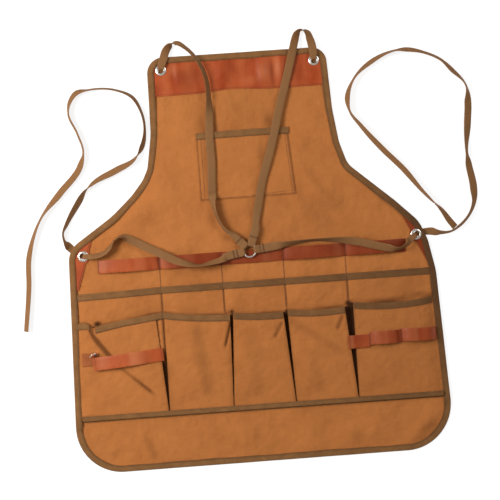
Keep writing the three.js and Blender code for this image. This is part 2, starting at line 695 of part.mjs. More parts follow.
function pocketSide(kind, seam, way, open, rise, share) {
  const slope = (rise - 2 * PLEAT_FOLD) / 2;
  const fold = seam + way * open;
  const deep = fold + way * PLEAT_DEPTH;
  const tuck = read(TUCK, "at", "x", share);
  const low = rise * (1 - read(TUCK, "at", "depth", share));
  const sides = {
    pleat: [
      { x: seam + way * GAP, z: 0 },
      { x: deep, z: slope },
      { x: deep, z: slope + PLEAT_FOLD },
      { x: fold, z: 2 * slope + PLEAT_FOLD },
      { x: fold, z: rise },
    ],
    tuck: [
      { x: seam, z: 0 },
      { x: seam + SIDE_LAND, z: 0 },
      { x: tuck - TUCK_LIP.inner, z: low },
      { x: tuck, z: rise },
      { x: tuck + TUCK_LIP.outer, z: rise },
    ],
    plain: [
      { x: seam, z: 0 },
      { x: seam + way * SIDE_LAND, z: 0 },
      ...PLAIN_SIDE.map((row) => ({ x: seam + way * (SIDE_LAND + row.out), z: rise * row.share })),
    ],
  };
  return sides[kind];
}

// Mouth of a pocket along Y, a curve through its left end, middle and right end
function mouthAt(number, x) {
  const { left, middle, right } = POCKETS[number];
  const share = ramp(x, POCKET_SEAMS[number].mouth, POCKET_SEAMS[number + 1].mouth);
  const sag = 4 * (middle - (left + right) / 2);
  return lerp(left, right, share) + sag * share * (1 - share);
}

function pocketY(number, x, share) {
  return lerp(POCKET_FOOT, mouthAt(number, x), share);
}

// Height of a pocket's outer face above the table
function pocketFace(number, x, y) {
  const share = ramp(y, POCKET_FOOT, mouthAt(number, x));
  const section = pocketSection(number, share);
  const first = POCKETS[number].leftSide === "pleat" ? PLEAT_POINTS : 0;
  const last = section.length - (POCKETS[number].rightSide === "pleat" ? PLEAT_POINTS : 0);
  const front = section.slice(first, last);
  return POCKET_MID + read(front, "x", "z", x) + CANVAS / 2;
}

POCKETS.forEach((pocket, number) => {
  const sides = POCKET_ROWS.map((share) => {
    const section = pocketSection(number, share);
    const line = section.map((point) => new THREE.Vector2(point.x, POCKET_MID + point.z));
    return thicken(line, CANVAS).map((side) => {
      return side.map((point, k) => [point.x, pocketY(number, section[k].x, share), point.y]);
    });
  });
  const pocketWall = wall(sides.map((side) => side[0]), sides.map((side) => side[1]));
  piece(`lower_pocket_${number + 1}`, pocketWall, canvas);

  // Tape over the mouth: a lip over the cut edge and a face on the front
  const section = pocketSection(number, 1);
  const last = section.length - (pocket.rightSide === "pleat" ? PLEAT_POINTS : 1);
  const ends = section.slice(PLEAT_POINTS, last);
  const face = CANVAS / 2 + GAP + TAPE / 2;
  const lip = GAP + TAPE / 2;
  const profiles = ends.map(({ x, z }) => {
    const mouth = mouthAt(number, x);
    const depth = mouth - BAND_WIDTH;
    const low = pocketFace(number, x, depth) + GAP + TAPE / 2;
    const high = Math.max(POCKET_MID + z + face, low);
    return thicken([
      new THREE.Vector2(mouth + lip, POCKET_MID + z - CANVAS / 2),
      new THREE.Vector2(mouth + lip, high),
      new THREE.Vector2(depth, low),
    ], TAPE).map((side) => side.map((point) => [x, point.x, point.y]));
  });
  const tapeWall = wall(profiles.map((profile) => profile[0]), profiles.map((profile) => profile[1]));
  piece(`lower_pocket_tape_${number + 1}`, tapeWall, tape);
});

// Lower band: covers the feet of the pockets and steps down to the canvas below them
const bandHigh = POCKET_MID + 2 * PLEAT_FOLD + CANVAS / 2 + GAP + TAPE / 2;
const bandLow = CANVAS_TOP + GAP + TAPE / 2;
const bandProfile = [
  ...BAND_STEP.map(({ y, over }) => new THREE.Vector2(y, bandHigh + over)),
  new THREE.Vector2(BAND_EDGE, bandLow),
  new THREE.Vector2(BAND_LOW, bandLow),
];
const [bandOuter, bandInner] = thicken(bandProfile, TAPE);
const bandGrid = (side) => BAND_ENDS.map((x) => side.map((point) => [x, point.x, point.y]));
piece("lower_band", wall(bandGrid(bandOuter), bandGrid(bandInner)), tape);

// Towel strap: an arched strip of leather, with a tab under its free end
const towelTurn = radians(TOWEL_TURN);
function onTowel(along, across, z) {
  const x = TOWEL_MIDDLE.x + along * Math.cos(towelTurn) - across * Math.sin(towelTurn);
  const y = TOWEL_MIDDLE.y + along * Math.sin(towelTurn) + across * Math.cos(towelTurn);
  return [x, y, z];
}
const towelLine = TOWEL_STATIONS.map(({ along, z }) => new THREE.Vector2(along, z));
const towelSides = thicken(towelLine, LEATHER);
const towelGrid = (side) => [-LEATHER_STRIP / 2, LEATHER_STRIP / 2].map((across) => {
  return side.map((point) => onTowel(point.x, across, point.y));
});
piece("towel_strap", wall(towelGrid(towelSides[0]), towelGrid(towelSides[1])), leather);

const tabEdges = [TAB_MIDDLE - LEATHER_STRIP / 2, TAB_MIDDLE + LEATHER_STRIP / 2];
const tabGrid = (height) => tabEdges.map((y) => TAB_STATIONS.map((x) => {
  return [x, y, Math.max(...tabEdges.map((edge) => pocketFace(0, x, edge))) + height];
}));
piece("towel_strap_tab", wall(tabGrid(2 * GAP + LEATHER), tabGrid(2 * GAP)), leather);

const snapHalf = SNAP_DISC.thickness / 2;
const snapProfile = [
  new THREE.Vector2(0, -snapHalf),
  new THREE.Vector2(SNAP_DISC.foot, -snapHalf),
  new THREE.Vector2(SNAP_DISC.radius, 0),
  new THREE.Vector2(SNAP_DISC.rim, snapHalf),
  new THREE.Vector2(0, snapHalf),
];
const snapGeometry = new THREE.LatheGeometry(snapProfile, EYELET_SIDES).rotateX(Math.PI / 2);
const snap = piece("towel_strap_snap", snapGeometry, steel);
snap.position.set(SNAP.x, SNAP.y, SNAP.z);
snap.rotation.set(radians(SNAP.lean), 0, radians(SNAP.turn), "ZYX");

// Tool loops on the last pocket
const loopStations = TOOL_LOOPS.map(({ x, over }) => {
  const upper = TOOL_LOOPS_MIDDLE + LEATHER_STRIP / 2;
  const seat = pocketFace(POCKETS.length - 1, Math.max(x, TOOL_LOOPS_SEAT), upper);
  return new THREE.Vector2(x, seat + over + 2 * GAP + LEATHER / 2);
});
piece("tool_loop_strip", stripAcross(loopStations, TOOL_LOOPS_MIDDLE), leather);

// Eyelets: a barrel between two flanges
const eyeletLow = EYELET_LIFT + CANVAS_LOW - GAP - EYELET_SHEET;
const eyeletHigh = EYELET_LIFT + TRIM_TOP + GAP + EYELET_SHEET;
const eyeletProfile = [
  new THREE.Vector2(EYELET_HOLE, eyeletLow),
  new THREE.Vector2(EYELET_FLANGE, eyeletLow),
  new THREE.Vector2(EYELET_FLANGE, eyeletLow + EYELET_SHEET),
  new THREE.Vector2(EYELET_BARREL, eyeletLow + EYELET_SHEET),
  new THREE.Vector2(EYELET_BARREL, eyeletHigh - EYELET_SHEET),
  new THREE.Vector2(EYELET_FLANGE, eyeletHigh - EYELET_SHEET),
  new THREE.Vector2(EYELET_FLANGE - EYELET_SHEET, eyeletHigh),
  new THREE.Vector2(EYELET_BARREL, eyeletHigh + EYELET_CROWN),
  new THREE.Vector2(EYELET_HOLE, eyeletHigh - EYELET_ROLL),
  new THREE.Vector2(EYELET_HOLE, eyeletLow),
];
EYELETS.forEach(({ name, x, y }) => {
  const geometry = new THREE.LatheGeometry(eyeletProfile, EYELET_SIDES).rotateX(Math.PI / 2);
  piece(name, geometry, steel).position.set(x, y, 0);
});

// Ring that joins the straps
const ringGeometry = new THREE.TorusGeometry(RING.radius, RING.wire, RING_TUBE_SIDES, RING_SIDES);
piece("back_ring", ringGeometry, steel).position.set(RING.x, RING.y, RING.z);

// Loop of webbing round the ring's wire, from its sewn tail underneath to the strap on top
function ringLoop(degrees) {
  const way = new THREE.Vector2(Math.cos(radians(degrees)), Math.sin(radians(degrees)));
  const bend = RING.wire + 3 * GAP + WEB / 2;
  const eye = RING.radius - 2 * GAP;
  const station = (out, z, width = LOOP_WIDTH) => {
    return { x: RING.x + way.x * out, y: RING.y + way.y * out, z: RING.z + z, heading: way, width };
  };
  const turns = LOOP_TURNS.map((angle) => {
    return station(eye + bend * Math.cos(radians(angle)), bend * Math.sin(radians(angle)));
  });
  return [
    station(RING.radius + LOOP_TAIL, -LOOP_SPREAD, LOOP_END_WIDTH),
    station(RING.radius + LOOP_CLOSE, -LOOP_SPREAD),
    ...turns,
    station(RING.radius + LOOP_CLOSE, LOOP_SPREAD),
    station(RING.radius + LOOP_TAIL, LOOP_SPREAD, LOOP_END_WIDTH),
  ];
}

// Strap of webbing through its stations: each cross-section is turned about the strap's own length
function strap(rows) {
  const stations = rows.map((row) => {
    const width = row.width ?? STRAP_WIDTH;
    const roll = radians(row.roll ?? 0);
    const halfHeight = (Math.abs(Math.sin(roll)) * width + Math.abs(Math.cos(roll)) * WEB) / 2;
    const point = new THREE.Vector3(row.x, row.y, row.z ?? row.rest + halfHeight);
    return { width, roll, point, heading: row.heading };
  });
  const sections = stations.map(({ width, roll, point, heading }, k) => {
    const before = stations[Math.max(0, k - 1)].point;
    const after = stations[Math.min(stations.length - 1, k + 1)].point;
    const along = after.clone().sub(before).normalize();
    const flat = heading ?? along;
    const across = new THREE.Vector3(-flat.y, flat.x, 0).normalize();
    const up = along.clone().cross(across).normalize();
    const wide = across.clone().multiplyScalar(Math.cos(roll)).addScaledVector(up, Math.sin(roll));
    const thick = up.clone().multiplyScalar(Math.cos(roll)).addScaledVector(across, -Math.sin(roll));
    const edge = (side, face) => {
      const middle = point.clone().addScaledVector(wide, (side * width) / 2);
      return middle.addScaledVector(thick, (face * WEB) / 2).toArray();
    };
    return [1, -1].map((face) => [edge(-1, face), edge(1, face)]);
  });
  return wall(sections.map((section) => section[0]), sections.map((section) => section[1]));
}

// The waist straps run out from the ring; the shoulder straps run in to it, half turned over
function fromRing(side, rows) {
  return [...ringLoop(side), ...rows];
}
function toRing(rows, side) {
  const loop = ringLoop(side).reverse();
  return [...rows, ...loop.map((row) => ({ ...row, roll: 180, heading: row.heading.clone().negate() }))];
}
piece("shoulder_strap_left", strap(toRing(SHOULDER_LEFT, RING_SIDE.shoulderLeft)), webbing);
piece("shoulder_strap_right", strap(toRing(SHOULDER_RIGHT, RING_SIDE.shoulderRight)), webbing);
piece("waist_strap_left", strap(fromRing(RING_SIDE.waistLeft, WAIST_LEFT)), webbing);
piece("waist_strap_right", strap(fromRing(RING_SIDE.waistRight, WAIST_RIGHT)), webbing);

export default apron;
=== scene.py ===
# %% [markdown]
# # A grill apron, laid out flat
#
# The real object is a work apron of waxed canvas. Olive tape binds its edge and its pockets, red-brown
# leather trims the bib and makes the tool loops, and four webbing straps meet at a steel ring on its front.
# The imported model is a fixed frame: every piece below takes the place of one plain solid in it.

# %% Load the frame
import math

import bmesh
import bpy
import numpy as np
from mathutils import Matrix


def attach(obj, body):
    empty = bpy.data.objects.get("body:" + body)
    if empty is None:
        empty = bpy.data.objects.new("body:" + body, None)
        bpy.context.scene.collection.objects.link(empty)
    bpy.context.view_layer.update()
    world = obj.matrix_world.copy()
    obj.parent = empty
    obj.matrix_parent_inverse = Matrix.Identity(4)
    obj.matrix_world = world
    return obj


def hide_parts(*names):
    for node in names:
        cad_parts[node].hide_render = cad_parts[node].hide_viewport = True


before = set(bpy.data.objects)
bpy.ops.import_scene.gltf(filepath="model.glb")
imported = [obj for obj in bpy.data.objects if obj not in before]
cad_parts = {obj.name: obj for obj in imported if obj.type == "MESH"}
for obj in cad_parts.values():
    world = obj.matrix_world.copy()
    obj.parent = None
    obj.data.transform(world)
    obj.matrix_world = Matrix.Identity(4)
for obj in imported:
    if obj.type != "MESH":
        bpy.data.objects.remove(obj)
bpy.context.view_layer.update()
MM = 0.001

# %% [markdown]
# ## The camera
#
# The apron was photographed from straight above, turned a little on the table. A long lens a good way up
# keeps the height of the pockets from spreading the picture.

# %% Camera
PICTURE_WIDTH = 0.925
CLOTH_HEIGHT = 0.004
CAMERA_HEIGHT = 2.2
CAMERA_PLACE = (-0.0025, 0.0126)
CAMERA_TURN = math.radians(-4.2)
SENSOR = 36.0

lens = bpy.data.cameras.new("camera")
lens.sensor_width = SENSOR
lens.lens = SENSOR * CAMERA_HEIGHT / PICTURE_WIDTH
camera = bpy.data.objects.new("camera", lens)
camera.location = (*CAMERA_PLACE, CAMERA_HEIGHT + CLOTH_HEIGHT)
camera.rotation_euler = (0.0, 0.0, CAMERA_TURN)
bpy.context.scene.collection.objects.link(camera)
bpy.context.scene.camera = camera
print("camera: lens", round(lens.lens, 1), "mm")

# %% [markdown]
# ## Writing finishes as formulas
#
# A finish is a tree of shader nodes. Wiring each one by hand hides the idea, so a small class wraps an
# output and turns arithmetic into Math nodes. Every other node comes from one method, which sets the
# node's settings first and then its sockets.

# %% Wires
def plug(tree, socket, value):
    if isinstance(value, Wire):
        tree.links.new(value.socket, socket)
    else:
        socket.default_value = value


class Wire:
    """An output in a shader tree. Arithmetic on it adds Math nodes."""

    def __init__(self, tree, socket):
        self.tree = tree
        self.socket = socket

    def math(self, operation, *others, last=False, clamp=False):
        node = self.tree.nodes.new("ShaderNodeMath")
        node.operation = operation
        node.use_clamp = clamp
        terms = (*others, self) if last else (self, *others)
        for socket, term in zip(node.inputs, terms):
            plug(self.tree, socket, term)
        return Wire(self.tree, node.outputs[0])

    def output(self, name):
        return Wire(self.tree, self.socket.node.outputs[name])

    def __add__(self, other):
        return self.math("ADD", other)

    def __sub__(self, other):
        return self.math("SUBTRACT", other)

    def __rsub__(self, other):
        return self.math("SUBTRACT", other, last=True)

    def __mul__(self, other):
        return self.math("MULTIPLY", other)

    def __abs__(self):
        return self.math("ABSOLUTE")

    __radd__ = __add__
    __rmul__ = __mul__

    def sine(self):
        return self.math("SINE")

    def clamped(self):
        return self.math("ADD", 0.0, clamp=True)


# %% Finishes
class Finish:
    """A material: one shader and the nodes that feed it."""

    def __init__(self, name):
        self.material = bpy.data.materials.new(name)
        self.material.use_nodes = True
        self.tree = self.material.node_tree
        self.shader = self.tree.nodes["Principled BSDF"]

    def node(self, kind, settings=None, sockets=None, output=0):
        made = self.tree.nodes.new(kind)
        for key, value in (settings or {}).items():
            setattr(made, key, value)
        for key, value in (sockets or {}).items():
            plug(self.tree, made.inputs[key], value)
        return Wire(self.tree, made.outputs[output])

    def mix(self, share, first, second):
        settings = {"data_type": "RGBA", "blend_type": "MIX"}
        return self.node("ShaderNodeMix", settings, {0: share, 6: first, 7: second}, output=2)

    def noise(self, place, scale, detail=3.0, rough=0.55):
        sockets = {"Vector": place, "Scale": scale, "Detail": detail, "Roughness": rough}
        return self.node("ShaderNodeTexNoise", None, sockets)

    def bump(self, height, distance, strength):
        sockets = {"Height": height, "Distance": distance, "Strength": strength}
        return self.node("ShaderNodeBump", None, sockets)

    def flat_place(self):
        """The place on the cloth as it was cut, in metres: across, along, and both as one vector."""
        place = self.node("ShaderNodeUVMap", {"uv_map": "Cloth"})
        across = self.node("ShaderNodeSeparateXYZ", None, {"Vector": place})
        return across, across.output("Y"), place

    def painted(self, name):
        """A value painted on the points of a piece, or 0 on a piece without that paint."""
        return self.node("ShaderNodeAttribute", {"attribute_name": name}, output=2)

    def joined(self, x, y):
        return self.node("ShaderNodeCombineXYZ", None, {"X": x, "Y": y})

    def done(self, **sockets):
        for name, value in sockets.items():
            plug(self.tree, self.shader.inputs[name.replace("_", " ")], value)
        print("finish:", self.material.name, len(self.tree.nodes), "nodes")
        return self.material


# %% [markdown]
# ## Webbing
#
# Webbing is woven as a band: ribs run along it, and fine picks cross them on a slant. Its own flat place
# carries the pattern round every bend and twist, which a pattern fixed in space couldn't follow.

# %% Webbing finish
RIB_PITCH, PICK_PITCH, PICK_SLANT = 0.0013, 0.0010, 0.45
WEB_BROWN, WEB_PALE = (0.230, 0.101, 0.034, 1.0), (0.328, 0.153, 0.055, 1.0)
WEB_SHADE, WEB_FIBRE = (0.150, 0.064, 0.020, 1.0), (0.41, 0.21, 0.085, 1.0)


def webbing_finish():
    finish = Finish("webbing")
    across, along, place = finish.flat_place()
    rib = abs((across * (math.pi / RIB_PITCH)).sine())
    pick = ((along + across * PICK_SLANT) * (2 * math.pi / PICK_PITCH)).sine() * 0.5 + 0.5
    wear = finish.noise(place, 38.0, 4.0)
    fibre = finish.noise(finish.joined(across * 900.0, along * 160.0), 1.0, 2.0)
    plain = finish.mix(wear, WEB_BROWN, WEB_PALE)
    shaded = finish.mix(rib * 0.55 + pick * 0.2, WEB_SHADE, plain)
    colour = finish.mix(fibre * 0.25, shaded, WEB_FIBRE)
    normal = finish.bump(rib * 0.7 + pick * 0.3, 0.0003, 0.5)
    roughness = 0.78 + wear * 0.12
    return finish.done(Base_Color=colour, Roughness=roughness, Normal=normal, Specular_IOR_Level=0.2)


WEBBING = webbing_finish()

# %% [markdown]
# ## Walls: one way to make every sheet
#
# Canvas, leather, tape and webbing are all thin walls. Each is made here from two matching grids of
# points, its outside and its inside, and closed round its rim. The same function takes a ring, such as
# the edge binding, and leaves out the cells that an eyelet goes through. A value for each point can be
# painted on the grid, and a finish can then use it: here painted shade, in folds, pleats and creases,
# beside the straps and towards the right, a darker tone on some pieces, and painted highlights on leather.

# %% Wall faces
def stacked(*parts):
    return np.stack(np.broadcast_arrays(*parts), axis=-1)


def quads(grid):
    return np.stack([grid[:-1, :-1], grid[:-1, 1:], grid[1:, 1:], grid[1:, :-1]], axis=-1).reshape(-1, 4)


def bands(grid, back, ring):
    """The rim between the two sides of a wall."""
    rims = [np.stack([grid[1:, 0], back[1:, 0], back[:-1, 0], grid[:-1, 0]], axis=-1)]
    rims.append(np.stack([grid[:-1, -1], back[:-1, -1], back[1:, -1], grid[1:, -1]], axis=-1))
    if not ring:
        rims.append(np.stack([grid[0, :-1], back[0, :-1], back[0, 1:], grid[0, 1:]], axis=-1))
        rims.append(np.stack([grid[-1, 1:], back[-1, 1:], back[-1, :-1], grid[-1, :-1]], axis=-1))
    return np.concatenate(rims)


def hole_rim(grid, back, holes):
    rims = []
    for i, j in holes:
        loop = [(i, j), (i, j + 1), (i + 1, j + 1), (i + 1, j), (i, j)]
        for a, b in zip(loop, loop[1:]):
            rims.append([grid[a], grid[b], back[b], back[a]])
    return np.array(rims, int).reshape(-1, 4)


def faces_of(grid, back, ring, holes):
    keep = np.ones((grid.shape[0] - 1, grid.shape[1] - 1), bool)
    for cell in holes:
        keep[cell] = False
    keep = keep.reshape(-1)
    sides = [quads(grid)[keep], quads(back)[keep][:, ::-1]]
    return np.concatenate([*sides, bands(grid, back, ring), hole_rim(grid, back, holes)])


def volume(points, faces):
    a, b, c, d = (points[faces[:, k]] for k in range(4))
    return float((a * np.cross(b, c)).sum() + (a * np.cross(c, d)).sum())


# %% Wall builder
SHARP_EDGE = math.radians(50)


def put(name, mesh, material):
    mesh.materials.append(material)
    obj = bpy.data.objects.new(name, mesh)
    bpy.context.scene.collection.objects.link(obj)
    return obj


def wall(name, outer, inner, place, material, ring=False, holes=(), **paint):
    """A closed wall between two grids of points in millimetres, with its flat place in millimetres."""
    rows, columns = outer.shape[:2]
    points = np.concatenate([outer.reshape(-1, 3), inner.reshape(-1, 3)])
    grid = np.arange(rows * columns).reshape(rows, columns)
    flat_grid = np.arange(place.shape[0] * columns).reshape(-1, columns)
    if ring:
        grid = np.concatenate([grid, grid[:1]])
    faces = faces_of(grid, grid + rows * columns, ring, holes)
    corners = faces_of(flat_grid, flat_grid, ring, holes)
    if volume(points, faces) < 0:
        faces, corners = faces[:, ::-1], corners[:, ::-1]
    mesh = bpy.data.meshes.new(name)
    mesh.from_pydata((points * MM).tolist(), [], faces.tolist())
    layer = mesh.uv_layers.new(name="Cloth")
    layer.data.foreach_set("uv", (place.reshape(-1, 2)[corners.reshape(-1)] * MM).reshape(-1))
    for label, values in paint.items():
        flat = np.broadcast_to(values, (rows, columns)).reshape(-1)
        coat = mesh.attributes.new(label, "FLOAT", "POINT")
        coat.data.foreach_set("value", np.concatenate([flat, flat]).astype(np.float32))
    mesh.shade_smooth()
    mesh.set_sharp_from_angle(angle=SHARP_EDGE)
    return put(name, mesh, material)


def dress(obj, node=None):
    """Put a piece on the frame, in the place of the node with that name if there is one."""
    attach(obj, "root")
    if node:
        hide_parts(node)
    print("piece:", obj.name, len(obj.data.polygons), "faces")
    return obj


# %% [markdown]
# ## Straps
#
# A strap is a flat cord: it has a route, and at each place along it a roll about its own length. The
# tables follow the frame's routes in metres, moved a little to where the straps are seen. Webbing runs on
# edge where it curves and lies flat where it is straight; the rolls follow from the widths that are seen.

# %% Strap routes
STRAP_WIDTH, TABLE_REST = 15.0, 0.2
# x, y, height of what lies under the strap, roll in degrees, width
SHOULDER_LEFT = [
    (-0.143, 0.334, 0.0001, 0, 0.015), (-0.143, 0.352, 0.0001, 0, 0.01),
    (-0.143, 0.3552, 0.0013, 0, 0.0095), (-0.143, 0.3562, 0.0049, 0, 0.0095),
    (-0.1428, 0.3572, 0.009, 0, 0.0095), (-0.1412, 0.363, 0.0106, 0, 0.014),
    (-0.1361, 0.3761, 0.01, 0, 0.015), (-0.1302, 0.391, 0.006, 25, 0.015),
    (-0.1225, 0.3995, 0.003, 55, 0.015), (-0.1116, 0.4038, 0.002, 131, 0.015),
    (-0.0958, 0.3943, 0.005, 122, 0.015), (-0.0803, 0.378, 0.0075, 118, 0.015),
    (-0.0677, 0.3568, 0.008, 122, 0.015), (-0.06, 0.3327, 0.0075, 121, 0.015),
    (-0.0581, 0.3, 0.007, 126, 0.015), (-0.0595, 0.2592, 0.008, 170, 0.015),
    (-0.0617, 0.228, 0.011, 180, 0.015), (-0.0616, 0.182, 0.0095, 180, 0.015),
    (-0.0644, 0.126, 0.0075, 172, 0.015), (-0.064, 0.1017, 0.004, 236, 0.015),
    (-0.057, 0.073, 0.0045, 250, 0.014), (-0.043, 0.0505, 0.0072, 236, 0.0104),
]
SHOULDER_RIGHT = [
    (0.1405, 0.332, 0.0001, 0, 0.015), (0.1405, 0.3505, 0.0001, 0, 0.01),
    (0.1405, 0.3537, 0.0013, 0, 0.0095), (0.1405, 0.3547, 0.0049, 0, 0.0095),
    (0.1405, 0.3557, 0.009, 0, 0.0095), (0.1403, 0.3615, 0.0106, 0, 0.014), (0.1395, 0.377, 0.01, 0, 0.015),
    (0.1361, 0.3938, 0.006, 20, 0.015), (0.1314, 0.4065, 0.003, 45, 0.015),
    (0.1218, 0.411, 0.001, 90, 0.015), (0.1135, 0.4051, 0.003, 135, 0.015),
    (0.1083, 0.393, 0.006, 160, 0.015), (0.1039, 0.378, 0.009, 165, 0.015),
    (0.0981, 0.3589, 0.009, 178, 0.015), (0.0825, 0.308, 0.008, 180, 0.015),
    (0.0701, 0.2688, 0.008, 180, 0.015), (0.058, 0.226, 0.011, 180, 0.015),
    (0.043, 0.178, 0.01, 180, 0.015), (0.0298, 0.1397, 0.008, 176, 0.015),
    (0.0185, 0.092, 0.0065, 172, 0.015), (0.012, 0.062, 0.008, 180, 0.013),
]
WAIST_LEFT = [
    (-0.055, -0.0008, 0.0105, 40, 0.015), (-0.078, -0.0061, 0.0125, 60, 0.015),
    (-0.097, -0.0089, 0.0128, 76, 0.015), (-0.116, -0.0055, 0.0128, 52, 0.015),
    (-0.1376, 0.002, 0.0125, 24, 0.015), (-0.1604, 0.014, 0.012, 10, 0.015),
    (-0.2059, 0.0386, 0.006, 8, 0.015), (-0.2287, 0.0515, 0.0055, 25, 0.015),
    (-0.239, 0.0551, 0.0055, 75, 0.015), (-0.2502, 0.0489, 0.0055, 85, 0.015),
    (-0.2606, 0.035, 0.006, 58, 0.015), (-0.275, 0.0247, 0.008, 50, 0.014),
    (-0.293, 0.0215, 0.01, 36, 0.0115), (-0.3045, 0.0223, 0.0106, 0, 0.01),
    (-0.31, 0.0227, 0.0088, 0, 0.0095), (-0.311, 0.023, 0.0049, 0, 0.0095),
    (-0.312, 0.0234, 0.0009, 0, 0.0095), (-0.3155, 0.0252, 0.0001, 0, 0.01),
    (-0.333, 0.039, 0.0001, 0, 0.014),
]
WAIST_RIGHT = [
    (0.065, 0.019, 0.0105, 50, 0.015), (0.1174, 0.0222, 0.0105, 72, 0.015),
    (0.1639, 0.019, 0.011, 46, 0.015), (0.1948, 0.014, 0.0128, 18, 0.015),
    (0.2253, 0.0053, 0.0128, 20, 0.015), (0.252, -0.002, 0.0128, 26, 0.015),
    (0.2715, -0.0046, 0.012, 70, 0.015), (0.2849, 0.0015, 0.011, 62, 0.014),
    (0.2925, 0.0095, 0.01137, 6, 0.0132), (0.299, 0.0147, 0.0108, 0, 0.0112),
    (0.305, 0.0189, 0.0088, 0, 0.0095), (0.306, 0.0195, 0.0049, 0, 0.0095),
    (0.307, 0.02, 0.0007, 0, 0.0095), (0.3105, 0.0212, 0.0001, 0, 0.01), (0.334, 0.023, 0.0001, 0, 0.014),
]
# the rest of the waist straps, at full width on the table: x, y, roll in degrees
WAIST_LEFT_LYING = [
    (-0.343, 0.054, 82), (-0.3448, 0.0678, 89), (-0.3376, 0.083, 74), (-0.3102, 0.1263, 52),
    (-0.2991, 0.1427, 81), (-0.2839, 0.156, 121), (-0.24, 0.177, 148), (-0.2026, 0.196, 116),
    (-0.1878, 0.2167, 63), (-0.18, 0.252, 80), (-0.185, 0.284, 76), (-0.199, 0.31, 67),
    (-0.2302, 0.3257, 73), (-0.28, 0.3292, 72), (-0.3028, 0.3247, 44), (-0.3151, 0.3086, 56),
    (-0.319, 0.289, 73), (-0.305, 0.25, 74), (-0.2966, 0.214, 73), (-0.3045, 0.1897, 36),
    (-0.3459, 0.142, 30), (-0.3839, 0.0983, 69), (-0.4005, 0.0638, 59), (-0.4112, 0.0271, 42),
    (-0.415, -0.025, 44), (-0.4261, -0.1079, 51),
]
WAIST_RIGHT_LYING = [
    (0.35, 0.0194, 62), (0.368, 0.0195, 76), (0.388, 0.03, 69), (0.4056, 0.0475, 66), (0.4164, 0.0691, 53),
    (0.4186, 0.098, 20), (0.4127, 0.1405, 30), (0.4104, 0.162, 63), (0.4163, 0.2207, 24),
    (0.4195, 0.2542, 23), (0.4176, 0.2874, 70), (0.3937, 0.3178, 48), (0.3744, 0.338, 63),
    (0.3486, 0.3518, 63), (0.3139, 0.361, 49), (0.291, 0.3607, 72), (0.2454, 0.3428, 53),
    (0.211, 0.313, 78), (0.1975, 0.28, 57), (0.2003, 0.2543, 85), (0.2185, 0.227, 71), (0.2557, 0.1806, 57),
    (0.2917, 0.1408, 57), (0.3242, 0.0971, 76), (0.3387, 0.0799, 86), (0.3547, 0.0626, 122),
    (0.3695, 0.0403, 143), (0.379, 0.0271, 146),
]
for rows, lying in ((WAIST_LEFT, WAIST_LEFT_LYING), (WAIST_RIGHT, WAIST_RIGHT_LYING)):
    rows += [(x, y, TABLE_REST * MM, roll, STRAP_WIDTH * MM) for x, y, roll in lying]
print("routes:", [len(rows) for rows in (SHOULDER_LEFT, SHOULDER_RIGHT, WAIST_LEFT, WAIST_RIGHT)], "stations")

# %% [markdown]
# Each strap ends in a loop sewn round the ring. The loop's stations follow from the ring's size, so they
# are worked out: a tail under the strap, a turn round the wire, and back along the top. Four loops share
# one ring, so each is gathered to the width that its share of the circle leaves.

# %% Ring loops
GAP = 0.3
WEB = 1.2
RING = {"x": -3.5, "y": 11.7, "z": 10.7, "radius": 11.75, "wire": 1.75}
# width of a loop for its distance from the ring's middle, length of its tail, where it closes, half its gap
LOOP_SPAN, LOOP_TAIL, LOOP_CLOSE, LOOP_SPREAD = 1.14, 30.0, 10.0, 0.98
LOOP_TURNS = (-60, -90, -130, -180, -230, -270, -300)
GATHERED = {"left": 0.68, "right": 1.0}
RING_SIDES = {"shoulder_left": 132, "shoulder_right": 70, "waist_left": 190, "waist_right": 6}


def ring_loop(degrees, gather=1.0):
    """Stations in millimetres from the loop's tail to its strap: x, y, rest, roll, width, heading."""
    way = np.array([math.cos(math.radians(degrees)), math.sin(math.radians(degrees))])
    bend = RING["wire"] + 3 * GAP + WEB / 2
    eye = RING["radius"] - 2 * GAP
    turns = [(eye + bend * math.cos(math.radians(a)), bend * math.sin(math.radians(a))) for a in LOOP_TURNS]
    ends = [(RING["radius"] + LOOP_TAIL, LOOP_SPREAD), (RING["radius"] + LOOP_CLOSE, LOOP_SPREAD)]
    line = [(out, -z) for out, z in ends] + turns + ends[::-1]
    rows = []
    for out, z in line:
        width = min(STRAP_WIDTH, LOOP_SPAN * out) * (gather if out > RING["radius"] + LOOP_CLOSE else 1.0)
        rest = RING["z"] + z - WEB / 2
        rows.append((RING["x"] + way[0] * out, RING["y"] + way[1] * out, rest, 0.0, width, *way))
    return np.array(rows)


print("ring loop:", len(ring_loop(0)), "stations")

# %% [markdown]
# A smooth strap goes through its stations. Places follow a curve that leaves each station in the
# direction of its neighbours; roll, width and height use a calmer curve that never overshoots, so the
# strap can't dip under the table between two stations.

# %% Curves through stations
def hermite(keys, values, slopes, at):
    k = np.clip(np.searchsorted(keys, at, side="right") - 1, 0, len(keys) - 2)
    width = keys[k + 1] - keys[k]
    t = (at - keys[k]) / width
    low, high = values[k], values[k + 1]
    rise = width * slopes[k] * (t ** 3 - 2 * t ** 2 + t) + width * slopes[k + 1] * (t ** 3 - t ** 2)
    return low * (2 * t ** 3 - 3 * t ** 2 + 1) + high * (3 * t ** 2 - 2 * t ** 3) + rise


def flowing(keys, values, at):
    gaps, steps = np.diff(keys), np.diff(values) / np.diff(keys)
    middle = (gaps[1:] * steps[:-1] + gaps[:-1] * steps[1:]) / (gaps[1:] + gaps[:-1])
    return hermite(keys, values, np.concatenate([steps[:1], middle, steps[-1:]]), at)


def calm(keys, values, at):
    steps = np.diff(values) / np.diff(keys)
    same = steps[:-1] * steps[1:] > 0
    total = np.where(same, steps[:-1] + steps[1:], 1.0)
    middle = np.where(same, 2 * steps[:-1] * steps[1:] / total, 0.0)
    return hermite(keys, values, np.concatenate([steps[:1], middle, steps[-1:]]), at)


